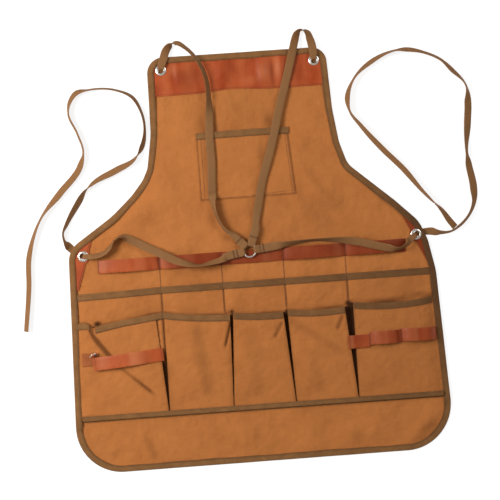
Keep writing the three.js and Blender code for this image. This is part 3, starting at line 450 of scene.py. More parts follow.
def half_height(roll, width):
    return (np.abs(np.sin(roll)) * width + np.abs(np.cos(roll)) * WEB) / 2


# %% Strap stations
# how near to edge-on a strap may be seen, where at least this share of the sight line crosses its length
EDGE_SEEN, SIGHT_CROSSES = math.radians(8.5), 0.8


def stations_of(rows):
    """Table rows in metres as stations in millimetres, headed along the route."""
    table = np.array(rows)
    table[:, [0, 1, 2, 4]] /= MM
    heading = np.gradient(table[:, :2], axis=0)
    heading /= np.linalg.norm(heading, axis=1, keepdims=True)
    return np.concatenate([table, heading], axis=1)


def flipped(loop):
    back = loop[::-1].copy()
    back[:, 3] = 180.0
    back[:, 5:] *= -1
    return back


def kept_in_sight(roll, centre, flat, up):
    """Rolls kept off the angle at which the camera would see a strap exactly on edge."""
    sight = np.array(camera.location) / MM - centre
    sight /= np.linalg.norm(sight, axis=1, keepdims=True)
    upward, sideways = (up * sight).sum(axis=1), (flat * sight).sum(axis=1)
    off_edge = (roll + np.arctan2(sideways, upward)) % math.pi - math.pi / 2
    kept = np.where(off_edge < 0, -1, 1) * np.maximum(np.abs(off_edge), EDGE_SEEN)
    return np.where(np.hypot(upward, sideways) > SIGHT_CROSSES, roll + kept - off_edge, roll)


# %% Strap builder
STRAP_STEP = 2.5
# share of the width, share of the thickness
STRAP_PROFILE = [
    (-0.5, 0.22), (-0.465, 0.5), (-0.24, 0.5), (0.0, 0.5), (0.24, 0.5), (0.465, 0.5), (0.5, 0.22),
]


def strap_frames(stations):
    """Centres, widths and the two directions across a strap, at even steps along its stations."""
    x, y, rest, roll, width = stations[:, :5].T
    roll = np.radians(roll)
    z = rest + half_height(roll, width)
    keys = np.concatenate([[0], np.cumsum(np.linalg.norm(np.diff(np.stack([x, y, z], 1), axis=0), axis=1))])
    counts = np.maximum(2, np.ceil(np.diff(keys) / STRAP_STEP).astype(int))
    at = np.concatenate([np.linspace(a, b, n, endpoint=False) for a, b, n in zip(keys, keys[1:], counts)])
    at = np.append(at, keys[-1])
    roll, width = calm(keys, roll, at), calm(keys, width, at)
    z = calm(keys, rest, at) + half_height(roll, width)
    centre = np.stack([flowing(keys, x, at), flowing(keys, y, at), z], axis=1)
    heading = np.stack([np.interp(at, keys, stations[:, 5]), np.interp(at, keys, stations[:, 6])], axis=1)
    heading /= np.maximum(np.linalg.norm(heading, axis=1, keepdims=True), 1e-6)
    along = np.gradient(centre, axis=0)
    along /= np.linalg.norm(along, axis=1, keepdims=True)
    flat = np.stack([-heading[:, 1], heading[:, 0], np.zeros(len(at))], axis=1)
    up = np.cross(along, flat)
    up /= np.linalg.norm(up, axis=1, keepdims=True)
    roll = kept_in_sight(roll, centre, flat, up)
    cosine, sine = np.cos(roll)[:, None], np.sin(roll)[:, None]
    return at, centre, width, flat * cosine + up * sine, up * cosine - flat * sine


def strap(name, stations):
    at, centre, width, wide, thick = strap_frames(stations)
    sides = []
    for face in (1, -1):
        columns = [centre + wide * (a * width)[:, None] + thick * (face * h * WEB) for a, h in STRAP_PROFILE]
        sides.append(np.stack(columns, axis=1))
    across = np.array([a for a, _ in STRAP_PROFILE]) * STRAP_WIDTH
    obj = dress(wall(name, *sides, stacked(across[None, :], at[:, None]), WEBBING), name)
    path = centre * MM


# %% Straps
for side, rows in (("left", SHOULDER_LEFT), ("right", SHOULDER_RIGHT)):
    loop = flipped(ring_loop(RING_SIDES["shoulder_" + side], GATHERED[side]))
    strap("shoulder_strap_" + side, np.concatenate([stations_of(rows), loop]))
for side, rows in (("left", WAIST_LEFT), ("right", WAIST_RIGHT)):
    loop = ring_loop(RING_SIDES["waist_" + side])
    strap("waist_strap_" + side, np.concatenate([loop, stations_of(rows)]))

# %% [markdown]
# ## Canvas
#
# Waxed canvas is a plain weave of thick cotton yarn. Yarns across and along take turns on top; some are
# thicker than others, and the wax leaves soft patches of darker and lighter colour. Bump height here is
# in metres, so the weave, the slubs and the soft rumples keep their real proportions.

# %% Canvas finish
YARN_PITCH = 0.0009
WAX_DARK, WAX_PALE = (0.372, 0.117, 0.027, 1.0), (0.512, 0.175, 0.044, 1.0)
YARN_PALE, WEAVE_DARK = (0.60, 0.230, 0.066, 1.0), (0.20, 0.056, 0.012, 1.0)
# the colour that painted shade darkens the canvas towards
CANVAS_SHADE_COLOUR = (0.014, 0.004, 0.0015, 1.0)


def plain_weave(across, along, pitch):
    """Height of a plain weave, from 0 to 1."""
    warp = (across * (math.pi / pitch)).sine()
    weft = (along * (math.pi / pitch)).sine()
    over = (warp * weft * 3.0 + 0.5).clamped()
    return over * abs(weft) + (1 - over) * abs(warp)


def canvas_finish():
    finish = Finish("canvas")
    across, along, place = finish.flat_place()
    weave = plain_weave(across, along, YARN_PITCH)
    patches = finish.noise(place, 13.0, 4.0, 0.6)
    cloudy = finish.noise(place, 70.0, 3.0)
    weft = finish.noise(finish.joined(across * 26.0, along * 900.0), 1.0, 2.0)
    warp = finish.noise(finish.joined(across * 900.0, along * 26.0), 1.0, 2.0)
    slub = weft * 0.5 + warp * 0.5
    rumple = finish.noise(place, 15.0, 3.0, 0.5)
    cloud = (patches * 1.6 + cloudy * 0.6 - 0.6).clamped()
    waxed = finish.mix(cloud, WAX_DARK, WAX_PALE)
    yarned = finish.mix(slub * 0.5, waxed, YARN_PALE)
    woven = finish.mix((1 - weave) * 0.30, yarned, WEAVE_DARK)
    # painted shade: darker in folds, pleats and creases, beside the straps and towards the right
    colour = finish.mix(finish.painted("Deep") * 0.93, woven, CANVAS_SHADE_COLOUR)
    height = weave * 0.00011 + slub * 0.00015 + cloudy * 0.0009 + rumple * 0.0110
    normal, roughness = finish.bump(height, 1.0, 1.0), 0.80 + patches * 0.12
    return finish.done(Base_Color=colour, Roughness=roughness, Normal=normal, Specular_IOR_Level=0.12)


CANVAS_CLOTH = canvas_finish()

# %% [markdown]
# ## Tape and leather
#
# The binding is a twill tape: fine slanting ribs, rubbed paler along the fold. The leather is smooth and
# slightly glossy, with pores and shallow wrinkles, and its colour clouds from orange-brown to red-brown.
# Pale streaks and patches on it are painted sheen. Its inside shows on one tab and is duller and rougher,
# so the same recipe takes other values for it.

# %% Tape finish
TWILL_PITCH = 0.0011
TAPE_OLIVE, TAPE_PALE = (0.202, 0.088, 0.027, 1.0), (0.326, 0.150, 0.050, 1.0)
TWILL_DARK, TAPE_SHADE_COLOUR = (0.096, 0.040, 0.013, 1.0), (0.045, 0.017, 0.006, 1.0)


def tape_finish():
    finish = Finish("tape")
    across, along, place = finish.flat_place()
    twill = ((across + along) * (2 * math.pi / TWILL_PITCH)).sine() * 0.5 + 0.5
    rubbed = finish.noise(place, 55.0, 4.0)
    fibre = finish.noise(place, 900.0, 2.0)
    plain = finish.mix((rubbed * 1.8 - 0.4).clamped(), TAPE_OLIVE, TAPE_PALE)
    woven = finish.mix((1 - twill) * 0.35 + fibre * 0.15, plain, TWILL_DARK)
    # painted shade: darker on sewn edges, where the tape crosses a seam, and towards the right
    colour = finish.mix(finish.painted("Deep") * 0.7, woven, TAPE_SHADE_COLOUR)
    normal = finish.bump(twill * 0.00010 + fibre * 0.00005 + rubbed * 0.0012, 1.0, 1.0)
    roughness = 0.80 + rubbed * 0.1
    return finish.done(Base_Color=colour, Roughness=roughness, Normal=normal, Specular_IOR_Level=0.2)


TAPE_CLOTH = tape_finish()

# %% Leather finish
PORE_SCALE = 620.0
# the first and the third colour are pale, for painted sheen; the last is dark, for painted shade and tone
HIDE_STREAK_SHEEN, HIDE_WRINKLE = (0.54, 0.142, 0.046, 1.0), (0.58, 0.150, 0.044, 1.0)
HIDE_SHEEN, HIDE_PORE = (0.520, 0.170, 0.066, 1.0), (0.130, 0.020, 0.007, 1.0)
HIDE_SHADE_AND_TONE = (0.075, 0.006, 0.001, 1.0)


def leather_finish(name, dark, light, gloss):
    finish = Finish(name)
    across, along, place = finish.flat_place()
    sockets = {"Vector": place, "Scale": PORE_SCALE}
    cell = finish.node("ShaderNodeTexVoronoi", {"feature": "SMOOTH_F1"}, sockets)
    clouds = finish.noise(place, 24.0, 4.0, 0.6)
    wrinkle = finish.noise(finish.joined(across * 48.0, along * 22.0), 1.0, 2.0)
    sheen_streaks = finish.noise(finish.joined(across * 34.0, along * 4.0), 1.0, 1.0)
    pores = finish.noise(place, 1500.0, 2.0)
    toned = finish.mix((clouds * 1.8 - 0.4).clamped(), dark, light)
    # painted sheen: pale streaks at random, and pale patches where a piece is painted with sheen
    sheen_streaked = finish.mix((sheen_streaks * 2.6 - 0.9).clamped() * 0.45, toned, HIDE_STREAK_SHEEN)
    wrinkled = finish.mix((wrinkle * 2.2 - 0.9).clamped() * 0.3, sheen_streaked, HIDE_WRINKLE)
    wear_and_sheen = finish.mix(finish.painted("Worn") * 0.8, wrinkled, HIDE_SHEEN)
    pored = finish.mix((pores * 2.0 - 1.05).clamped() * 0.45, wear_and_sheen, HIDE_PORE)
    # painted shade, and an even darker tone on some pieces
    colour = finish.mix(finish.painted("Deep") * 0.8, pored, HIDE_SHADE_AND_TONE)
    normal = finish.bump(cell * 0.00008 + wrinkle * 0.0012 + pores * 0.00002, 1.0, 1.0)
    roughness = gloss + clouds * 0.14 + pores * 0.06
    return finish.done(Base_Color=colour, Roughness=roughness, Normal=normal, Specular_IOR_Level=0.14)


LEATHER_HIDE = leather_finish("leather", (0.255, 0.034, 0.007, 1.0), (0.410, 0.068, 0.015, 1.0), 0.34)
LEATHER_FLESH = leather_finish("leather inside", (0.270, 0.080, 0.024, 1.0), (0.350, 0.115, 0.038, 1.0), 0.72)

# %% Steel finish
NICKEL_DULL, NICKEL_BRIGHT = (0.78, 0.74, 0.66, 1.0), (0.95, 0.91, 0.82, 1.0)


def steel_finish():
    finish = Finish("nickel")
    place = finish.node("ShaderNodeTexCoord", output=3)
    haze = finish.noise(place, 260.0, 3.0)
    colour = finish.mix(haze, NICKEL_DULL, NICKEL_BRIGHT)
    normal = finish.bump(finish.noise(place, 2600.0, 2.0), 0.0001, 0.15)
    return finish.done(Base_Color=colour, Roughness=0.2 + haze * 0.16, Normal=normal, Metallic=1.0)


NICKEL = steel_finish()

# %% [markdown]
# ## How the cloth lies
#
# The canvas lies on a table, so its height is a sum of soft folds, and the corners with eyelets are
# lifted by the straps that pass beneath them. Small ripples lift every layer alike, so layers that lie
# on each other never cut through one another.

# %% Layers
CANVAS, TAPE, LEATHER = 1.1, 1.0, 1.6
BINDING_WIDTH, BAND_WIDTH, LEATHER_STRIP = 12.0, 11.5, 24.0
CANVAS_LOW = TAPE + GAP
CANVAS_TOP = CANVAS_LOW + CANVAS
TRIM_LOW = CANVAS_TOP + GAP
TRIM_TOP = TRIM_LOW + LEATHER
PANEL_TOP = TRIM_LOW + CANVAS
POCKET_MID = PANEL_TOP + GAP + CANVAS / 2
POCKET_SEAM_TOP = PANEL_TOP + GAP + CANVAS
print("layers: canvas", CANVAS_LOW, "to", CANVAS_TOP, "mm; trims to", round(TRIM_TOP, 2), "mm")

# %% Folds
# x, y, direction, reach along, reach across, height
FOLDS = [
    (44, 345, 92, 30, 10, 3.6), (79, 348, 88, 30, 9, 3.4), (-118, 352, 95, 26, 13, 2.6),
    (-30, 345, 92, 30, 14, 2.4), (-22, 268, 60, 40, 18, 2.6), (128, 118, 128, 46, 13, 5.0),
    (96, 92, 120, 34, 10, 3.6), (-205, 92, 38, 48, 18, 2.6), (-222, -326, 119, 34, 9, 3.6),
    (-246, -340, 112, 26, 10, 2.2), (-40, -335, 95, 26, 14, 3.0), (162, -340, 84, 26, 13, 3.2),
    (204, -336, 92, 24, 11, 2.6), (298, -328, 45, 44, 12, 5.0),
]
# wavelength, direction, phase, height
RIPPLES = [
    (61, 12, 0.3, 0.10), (47, 78, 1.9, 0.10), (83, 141, 4.1, 0.14), (109, 52, 2.7, 0.16),
    (38, 105, 5.2, 0.05), (133, 168, 0.9, 0.16), (71, 33, 3.6, 0.10),
]
RIPPLE_LIFT = 0.35
FLAT_FROM, FLAT_TO, FOLD_EASE = -294.0, 40.0, 30.0
EYELET_LIFT = 1.4
# where the corners rise on both sides: from x, to x, from y, to y
LIFTED = [(287, 295, -42, -6), (112, 126, 318, 330)]


def ramp(value, low, high):
    return np.clip((value - low) / (high - low), 0.0, 1.0)


def lifted(x, y):
    corners = [ramp(np.abs(x), x0, x1) * ramp(y, y0, y1) for x0, x1, y0, y1 in LIFTED]
    return np.maximum(*corners)


def drape(x, y):
    free = np.maximum(ramp(y, FLAT_TO, FLAT_TO + FOLD_EASE), ramp(y, FLAT_FROM, FLAT_FROM - FOLD_EASE))
    total = np.zeros(np.broadcast(x, y).shape)
    for fold_x, fold_y, turn, reach, width, height in FOLDS:
        cosine, sine = math.cos(math.radians(turn)), math.sin(math.radians(turn))
        along = (x - fold_x) * cosine + (y - fold_y) * sine
        across = (y - fold_y) * cosine - (x - fold_x) * sine
        total = total + height * np.exp(-((along / reach) ** 2) - (across / width) ** 2)
    corner = lifted(x, y)
    return np.maximum(EYELET_LIFT * corner, total * free * (1 - corner))


def ripple(x, y):
    total = np.full(np.broadcast(x, y).shape, RIPPLE_LIFT)
    for wave, turn, phase, height in RIPPLES:
        along = x * math.cos(math.radians(turn)) + y * math.sin(math.radians(turn))
        total = total + height * np.sin(2 * math.pi * along / wave + phase)
    return np.maximum(total, 0.0) * (1 - lifted(x, y))


def settled(points):
    points = np.array(points, float)
    points[..., 2] += ripple(points[..., 0], points[..., 1])
    return points


print("folds:", len(FOLDS), "and", len(RIPPLES), "ripples")

# %% [markdown]
# ## The cut outline
#
# The apron's outline is a line of corners, each rounded by an arc. Cloth inside it is laid out in rows from
# the left edge to the right edge, so the grid follows the cut and needs no trimming.

# %% Outline
# x, y, rounding
OUTLINE_CORNERS = [
    (-350.5, -380, 84), (351, -378.5, 86), (338, -50, 150), (327, 8, 60), (313, 43, 60), (272, 84.3, 150),
    (189.5, 158.5, 40), (176.5, 200, 60), (168.3, 262, 150), (163, 378, 28), (-168, 380, 30),
    (-170.2, 240, 120), (-181, 176, 40), (-191.5, 155, 60), (-213, 129, 120), (-252, 93.5, 200),
    (-337.5, 36.5, 44),
]
OUTLINE_STEP = 4.0
ARC_STEPS = 24


def rounded_outline():
    corners = np.array(OUTLINE_CORNERS, float)
    line = []
    for k, (x, y, radius) in enumerate(corners):
        here = np.array([x, y])
        back = corners[k - 1, :2] - here
        ahead = corners[(k + 1) % len(corners), :2] - here
        back, ahead = back / np.linalg.norm(back), ahead / np.linalg.norm(ahead)
        half = math.acos(float(back @ ahead)) / 2
        inward = (back + ahead) / np.linalg.norm(back + ahead)
        centre = here + inward * radius / math.sin(half)
        start = here + back * radius / math.tan(half) - centre
        turn = -np.sign(back[0] * ahead[1] - back[1] * ahead[0]) * (math.pi - 2 * half)
        for angle in np.linspace(0, turn, ARC_STEPS):
            c, s = math.cos(angle), math.sin(angle)
            line.append(centre + (start[0] * c - start[1] * s, start[0] * s + start[1] * c))
    line = np.array(line + line[:1])
    along = np.concatenate([[0], np.cumsum(np.linalg.norm(np.diff(line, axis=0), axis=1))])
    at = np.linspace(0, along[-1], int(along[-1] / OUTLINE_STEP), endpoint=False)
    return np.stack([np.interp(at, along, line[:, k]) for k in range(2)], axis=1), at


def inset(line, distance):
    way = np.roll(line, -1, axis=0) - np.roll(line, 1, axis=0)
    way /= np.linalg.norm(way, axis=1, keepdims=True)
    return line + np.stack([-way[:, 1], way[:, 0]], axis=1) * distance


def edges_at(line, y):
    """The left and right edge of an outline at each height."""
    rising = np.roll(line, -1, axis=0)[:, 1] > line[:, 1]
    left, right = line[~rising], line[rising]
    left, right = left[np.argsort(left[:, 1])], right[np.argsort(right[:, 1])]
    return np.interp(y, left[:, 1], left[:, 0]), np.interp(y, right[:, 1], right[:, 0])


outline, outline_at = rounded_outline()
cloth_outline = inset(outline, TAPE + GAP)
trim_outline = inset(outline, TAPE + 3 * GAP)
next_point = np.roll(outline, -1, axis=0)
flat_area = float((outline[:, 0] * next_point[:, 1] - outline[:, 1] * next_point[:, 0]).sum() / 2) * MM ** 2
print("outline:", len(outline), "points, flat area", round(flat_area, 4), "square metres")

# %% [markdown]
# ## Canvas body, bib leather and corner patches
#
# These three lie on each other and share the drape. An eyelet pushes the cloth aside: points near its
# middle move out under its flange, and the one cell left in the middle is the hole.

# %% Cloth builder
# x, y
EYELETS = {
    "eyelet_top_left": (-143, 356), "eyelet_top_right": (140.5, 354.5),
    "eyelet_side_left": (-311, 23), "eyelet_side_right": (306, 19.5),
}
EYELET_CUT = 9.0
EYELET_PUSH = 14.0
EYELET_CORNER = 6.9


def cloth_rows(rows, left, right, columns):
    share = np.linspace(0, 1, columns)
    x = left[:, None] + (right - left)[:, None] * share
    return x, np.repeat(rows[:, None], columns, axis=1)


def pierced(x, y):
    holes = []
    for hole_x, hole_y in EYELETS.values():
        i = int(np.searchsorted(y[:, 0], hole_y)) - 1
        if not 0 <= i < len(y) - 1:
            continue
        j = int(np.searchsorted((x[i] + x[i + 1]) / 2, hole_x)) - 1
        if not 0 <= j < x.shape[1] - 1:
            continue
        far = np.maximum(np.hypot(x - hole_x, y - hole_y), 1e-3)
        push = np.where(far < EYELET_PUSH, (EYELET_CUT + far * (1 - EYELET_CUT / EYELET_PUSH)) / far, 1.0)
        x, y = hole_x + (x - hole_x) * push, hole_y + (y - hole_y) * push
        x[i:i + 2, j:j + 2] = hole_x + EYELET_CORNER * np.array([[-1, 1], [-1, 1]])
        y[i:i + 2, j:j + 2] = hole_y + EYELET_CORNER * np.array([[-1, -1], [1, 1]])
        holes.append((i, j))
    return x, y, holes


def laid_cloth(name, x, y, low, top, material, slot, **paint):
    x, y, holes = pierced(x, y)
    base = drape(x, y)
    outer = settled(stacked(x, y, base + top))
    inner = settled(stacked(x, y, base + low))
    obj = wall(name, outer, inner, stacked(x, y), material, holes=holes, **paint)
    return dress(obj, name)


# %% Canvas body
BODY_ROWS, BODY_COLUMNS, BODY_MARGIN = 172, 158, 0.5
# painted shade on the canvas: shadows beside the straps, and shade in folds and between the straps
BODY_SHADE = [
    (0, 272, 62, 40, 0.10), (115, 95, 70, 60, 0.09), (-10, 80, 60, 34, 0.06), (330, -340, 60, 60, 0.05),
    (48, 250, 7, 13, 0.35), (-76, 252, 8, 20, 0.26), (3, 92, 7, 22, 0.18), (-69, 72, 8, 16, 0.2),
    (-46, 38, 8, 8, 0.22), (112, 192, 14, 16, 0.09), (134, 73, 10, 28, 0.10), (-207, -352, 4, 9, 0.22),
    (-214, -338, 5, 10, 0.16), (-224, -322, 6, 10, 0.12), (-279, -348, 5, 8, 0.15),
    (308, -336, 15, 17, 0.12), (-54, -338, 9, 16, 0.12), (-16, -327, 9, 18, 0.12),
]


def spots(x, y, table):
    """Paint from a table of soft spots: x, y, reach across, reach along, strength."""
    return sum(strength * np.exp(-(((x - at_x) / wide) ** 2) - ((y - at_y) / tall) ** 2)
               for at_x, at_y, wide, tall, strength in table)


foot, head = cloth_outline[:, 1].min() + BODY_MARGIN, cloth_outline[:, 1].max() - BODY_MARGIN
rows = np.linspace(foot, head, BODY_ROWS)
x, y = cloth_rows(rows, *edges_at(cloth_outline, rows), BODY_COLUMNS)
shade = spots(x, y, BODY_SHADE)
apron_body = laid_cloth("apron_body", x, y, CANVAS_LOW, CANVAS_TOP, CANVAS_CLOTH, "canvas", Deep=shade)

# %% Bib leather
BIB_FOOT, BIB_STRAIGHT, BIB_MARGIN = 308.0, 350.0, 0.3
BIB_ROWS, BIB_COLUMNS = 40, 150
# the lower edge rises in its middle: how far, where, and over what reach
BIB_RISE, BIB_RISE_AT, BIB_RISE_REACH = 4.5, -12.0, 45.0
# painted highlights on the leather, and painted shade in its creases
BIB_SHEEN = [(45, 338, 10, 15, 0.6), (74, 347, 6, 15, 0.5), (-121, 357, 9, 13, 0.5), (20, 326, 14, 8, 0.3)]
BIB_CREASE_SHADE = [
    (62, 340, 4, 26, 0.6), (-94, 332, 16, 22, 0.35), (108, 330, 10, 20, 0.3), (-10, 350, 26, 20, 0.12),
]


def bib_rise(x):
    return BIB_RISE * np.exp(-(((x - BIB_RISE_AT) / BIB_RISE_REACH) ** 2))


rows = np.linspace(BIB_FOOT, trim_outline[:, 1].max() - BIB_MARGIN, BIB_ROWS)
x, y = cloth_rows(rows, *edges_at(trim_outline, rows), BIB_COLUMNS)
y = y + bib_rise(x) * ramp(y, BIB_STRAIGHT, BIB_FOOT)
paint = {"Worn": spots(x, y, BIB_SHEEN), "Deep": spots(x, y, BIB_CREASE_SHADE)}
bib_panel = laid_cloth("bib_panel", x, y, TRIM_LOW, TRIM_TOP, LEATHER_HIDE, "leather", **paint)

# %% Corner patches
PATCH_FOOT, PATCH_REACH, PATCH_TIP = -39.0, 110.0, 1.0
PATCH_ROWS, PATCH_COLUMNS, PATCH_TRIES = 38, 14, 200
# distance of the inner edge from the middle: at the foot, and how it closes with height; how dark
PATCH_EDGES = {-1: (323.5, 0.33, 0.0), 1: (326.0, 0.452, 0.5)}


def patch_edge(side, y):
    foot, slope, _ = PATCH_EDGES[side]
    return foot - slope * (y - PATCH_FOOT)


def patch_sides(side, rows):
    """Distances of the two edges of a patch from the middle."""
    return patch_edge(side, rows), np.abs(edges_at(trim_outline, rows)[0 if side < 0 else 1])


patches = []
for name, side in (("corner_patch_left", -1), ("corner_patch_right", 1)):
    rows = np.linspace(PATCH_FOOT, PATCH_REACH, PATCH_TRIES)
    inner, outer = patch_sides(side, rows)
    rows = np.linspace(PATCH_FOOT, rows[outer - inner > PATCH_TIP].max(), PATCH_ROWS)
    inner, outer = patch_sides(side, rows)
    wide = outer - inner
    cut = float(((wide[1:] + wide[:-1]) / 2 * np.diff(rows)).sum())
    _, slope, dark = PATCH_EDGES[side]
    slant = math.cos(math.atan(slope))
    size = (float(wide.max()) * slant, float(rows[-1] - rows[0]) / slant)
    ends = sorted((side * inner, side * outer), key=lambda row: row.mean())
    x, y = cloth_rows(rows, *ends, PATCH_COLUMNS)
    obj = laid_cloth(name, x, y, TRIM_LOW, TRIM_TOP, LEATHER_HIDE, "leather", Deep=dark)
    patches.append((obj, size, cut))

# %% [markdown]
# ## Edge binding
#
# The binding is tape folded over the raw edge and sewn through. Its section is a C whose height follows
# the layers it takes in, swept once round the outline. Corner cutting rounds the folds of the section.

# %% Sections
def softened(line, times=2):
    """Rows of points with their corners cut, so folds turn softly."""
    for _ in range(times):
        near = line[:, :-1] * 0.75 + line[:, 1:] * 0.25
        far = line[:, :-1] * 0.25 + line[:, 1:] * 0.75
        middle = np.stack([near, far], axis=2).reshape(len(line), -1, line.shape[2])
        line = np.concatenate([line[:, :1], middle[:, 1:-1], line[:, -1:]], axis=1)
    return line


def offset(line, distance):
    """Rows of points moved sideways, mitred at their bends."""
    step = np.diff(line, axis=1)
    step = step / np.maximum(np.linalg.norm(step, axis=2, keepdims=True), 1e-6)
    into = np.concatenate([step[:, :1], step], axis=1)
    out = np.concatenate([step, step[:, -1:]], axis=1)
    normal = np.stack([-into[..., 1], into[..., 0]], axis=-1)
    side = np.stack([-(into + out)[..., 1], (into + out)[..., 0]], axis=-1)
    side = side / np.maximum(np.linalg.norm(side, axis=2, keepdims=True), 1e-6)
    reach = distance / np.maximum((side * normal).sum(axis=2), 0.5)
    return line + side * reach[..., None]


def section_of(corners):
    """Softened sections from their corners, each given as a row of places and a row of heights."""
    return softened(np.stack([np.stack(pair, axis=1) for pair in corners], axis=1))


def run(line):
    """Distance along each row of points."""
    step = np.linalg.norm(np.diff(line, axis=1), axis=2)
    return np.concatenate([np.zeros((len(line), 1)), np.cumsum(step, axis=1)], axis=1)


# %% Binding
EDGE_SHADE, EDGE_REACH = 0.6, 1.6
EYELET_CLEAR = 10.3
BINDING_MIDDLE, BINDING_ROUND = 5.0, 0.3
# how the width wavers: by how much, over what length
BINDING_WAVER = [(0.5, 37.0), (0.3, 11.3)]
# painted shade on the tape, growing to the right and upwards: strength, from x, to x, from y, to y
BINDING_SHADE = (0.95, (165, 310), (-360, -100))


def edge_shade(line):
    """Paint for tape: dark on the sewn edge at the start of each row, fading inward."""
    return EDGE_SHADE * np.exp(-((run(line) / EDGE_REACH) ** 2))


# y, height of what the binding takes in
BINDING_LAYERS = [
    (-386, CANVAS_TOP), (-302, CANVAS_TOP), (-290, POCKET_SEAM_TOP), (-46, POCKET_SEAM_TOP),
    (-30, TRIM_TOP), (92, TRIM_TOP), (118, CANVAS_TOP), (280, CANVAS_TOP), (302, TRIM_TOP), (386, TRIM_TOP),
]


def binding_top(y):
    table = np.array(BINDING_LAYERS)
    return np.interp(y, table[:, 0], table[:, 1]) + GAP + TAPE


def binding_widths():
    """Width of the binding at each point of the outline: it keeps clear of the eyelets."""
    wide = BINDING_WIDTH + sum(size * np.sin(outline_at / wave) for size, wave in BINDING_WAVER)
    inward = inset(outline, 1.0) - outline
    for middle in EYELETS.values():
        away = np.array(middle) - outline
        ahead = (away * inward).sum(axis=1)
        spare = EYELET_CLEAR ** 2 - (away ** 2).sum(axis=1) + ahead ** 2
        clear = np.minimum(wide, ahead - np.sqrt(np.maximum(spare, 0)))
        wide = np.where((spare > 0) & (ahead > 0), clear, wide)
    return wide


def binding():
    top = binding_top(outline[:, 1])
    wide = binding_widths()
    edge = np.full(len(outline), TAPE / 2)
    middle = np.minimum(edge + BINDING_MIDDLE, (edge + wide) / 2)
    face = top - TAPE / 2
    corners = [(wide, face), (middle, face), (edge, face - BINDING_ROUND)]
    line = section_of(corners + [(edge, edge + BINDING_ROUND), (middle, edge), (wide, edge)])
    inward = inset(outline, 1.0) - outline
    sides = []
    for distance in (TAPE / 2, -TAPE / 2):
        moved = offset(line, distance)
        flat = outline[:, None, :] + inward[:, None, :] * moved[..., :1]
        height = moved[..., 1] + drape(flat[..., 0], flat[..., 1])
        sides.append(settled(stacked(flat[..., 0], flat[..., 1], height)))
    across = np.concatenate([run(line), run(line)[:1]])
    along = np.append(outline_at, outline_at[-1] + OUTLINE_STEP)[:, None]
    dark, rightward, upward = BINDING_SHADE
    shade_level = dark * ramp(outline[:, 0], *rightward) * ramp(outline[:, 1], *upward)
    deep = np.maximum(edge_shade(line), shade_level[:, None])
    return wall("edge_binding", *sides, stacked(across, along), TAPE_CLOTH, ring=True, Deep=deep)


edge_binding = dress(binding(), "edge_binding")

# %% [markdown]
# ## Chest pocket
#
# A patch pocket is sewn down on three sides, and its bound mouth gapes a little.

# %% Chest pocket
CHEST_HALF_WIDTH, CHEST_FOOT, CHEST_MOUTH = 87.0, 110.0, 234.0
CHEST_GAPE, CHEST_CURVE = 7.0, 1.3
CHEST_PULL, CHEST_SPREAD, CHEST_TAPE_END = 8.0, 3.0, 2.5
CHEST_ROWS, CHEST_COLUMNS = 80, 120
# shade along the sewn edge: how dark, and how far it reaches
CHEST_EDGE_SHADE, CHEST_EDGE_REACH = 0.34, 2.2
# painted shadows beside the straps
CHEST_STRAP_SHADE = [
    (-75, 183, 6, 34, 0.24), (31, 184, 7, 28, 0.24), (16, 140, 6, 20, 0.12), (-10, 200, 40, 14, 0.05),
]


def chest_right(y):
    """The right side of the pocket, spread at its foot and pulled in towards its mouth."""
    return CHEST_HALF_WIDTH + CHEST_SPREAD - CHEST_PULL * ramp(y, CHEST_FOOT, CHEST_MOUTH)


def chest_low(x, y):
    bow = np.maximum(0, 1 - (x / np.where(x < 0, CHEST_HALF_WIDTH, chest_right(y))) ** 2)
    return drape(x, y) + TRIM_LOW + CHEST_GAPE * bow * ramp(y, CHEST_FOOT, CHEST_MOUTH) ** CHEST_CURVE


def panel(name, x, y, low, **paint):
    outer = settled(stacked(x, y, low(x, y) + CANVAS))
    inner = settled(stacked(x, y, low(x, y)))
    return dress(wall(name, outer, inner, stacked(x, y), CANVAS_CLOTH, **paint), name)


rows = np.linspace(CHEST_FOOT, CHEST_MOUTH, CHEST_ROWS)
x, y = cloth_rows(rows, np.full(len(rows), -CHEST_HALF_WIDTH), chest_right(rows), CHEST_COLUMNS)
from_edge = np.min([x + CHEST_HALF_WIDTH, chest_right(y) - x, y - CHEST_FOOT], axis=0)
edge_dark = CHEST_EDGE_SHADE * np.exp(-((from_edge / CHEST_EDGE_REACH) ** 2))
deep = np.maximum(edge_dark, spots(x, y, CHEST_STRAP_SHADE))
chest_pocket = panel("chest_pocket", x, y, chest_low, Deep=deep)

# %% [markdown]
# ## Lower pockets
#
# Each of the five lower pockets is a wide panel folded into a pleat at each seam, so it can swell. Its
# section at any height is a short line of points: up the pleat, across the front, and down the other
# pleat. The first pocket has slipped: its left side lies in a slanting tuck in place of a pleat.

# %% Pocket sizes
# place at the mouth, place at the foot, opening of the pleat to its left, and to its right
POCKET_SEAMS = [
    (-338, -342, 0, 0), (-172, -172, 14, 4), (-45, -53, 3.5, 3.5),
    (54, 63.5, 4.5, 4.5), (171.5, 179, 8.5, 8.5), (336.6, 343.3, 0, 0),
]
POCKET_FOOT = -280.0
# mouth at its left end, middle and right end, and how the two sides are folded
POCKETS = [
    (-111, -99, -93, "tuck", "pleat"), (-91.5, -100.5, -104, "pleat", "pleat"),
    (-101, -106, -106, "pleat", "pleat"), (-102, -107, -104, "pleat", "pleat"),
    (-97, -103.5, -96, "pleat", "plain"),
]
# the mouth that has slipped: x, y
SLIPPED_MOUTH = np.array([(-338, -101.5), (-314, -101.5), (-302, -110), (-250, -101), (-172, -91.5)])
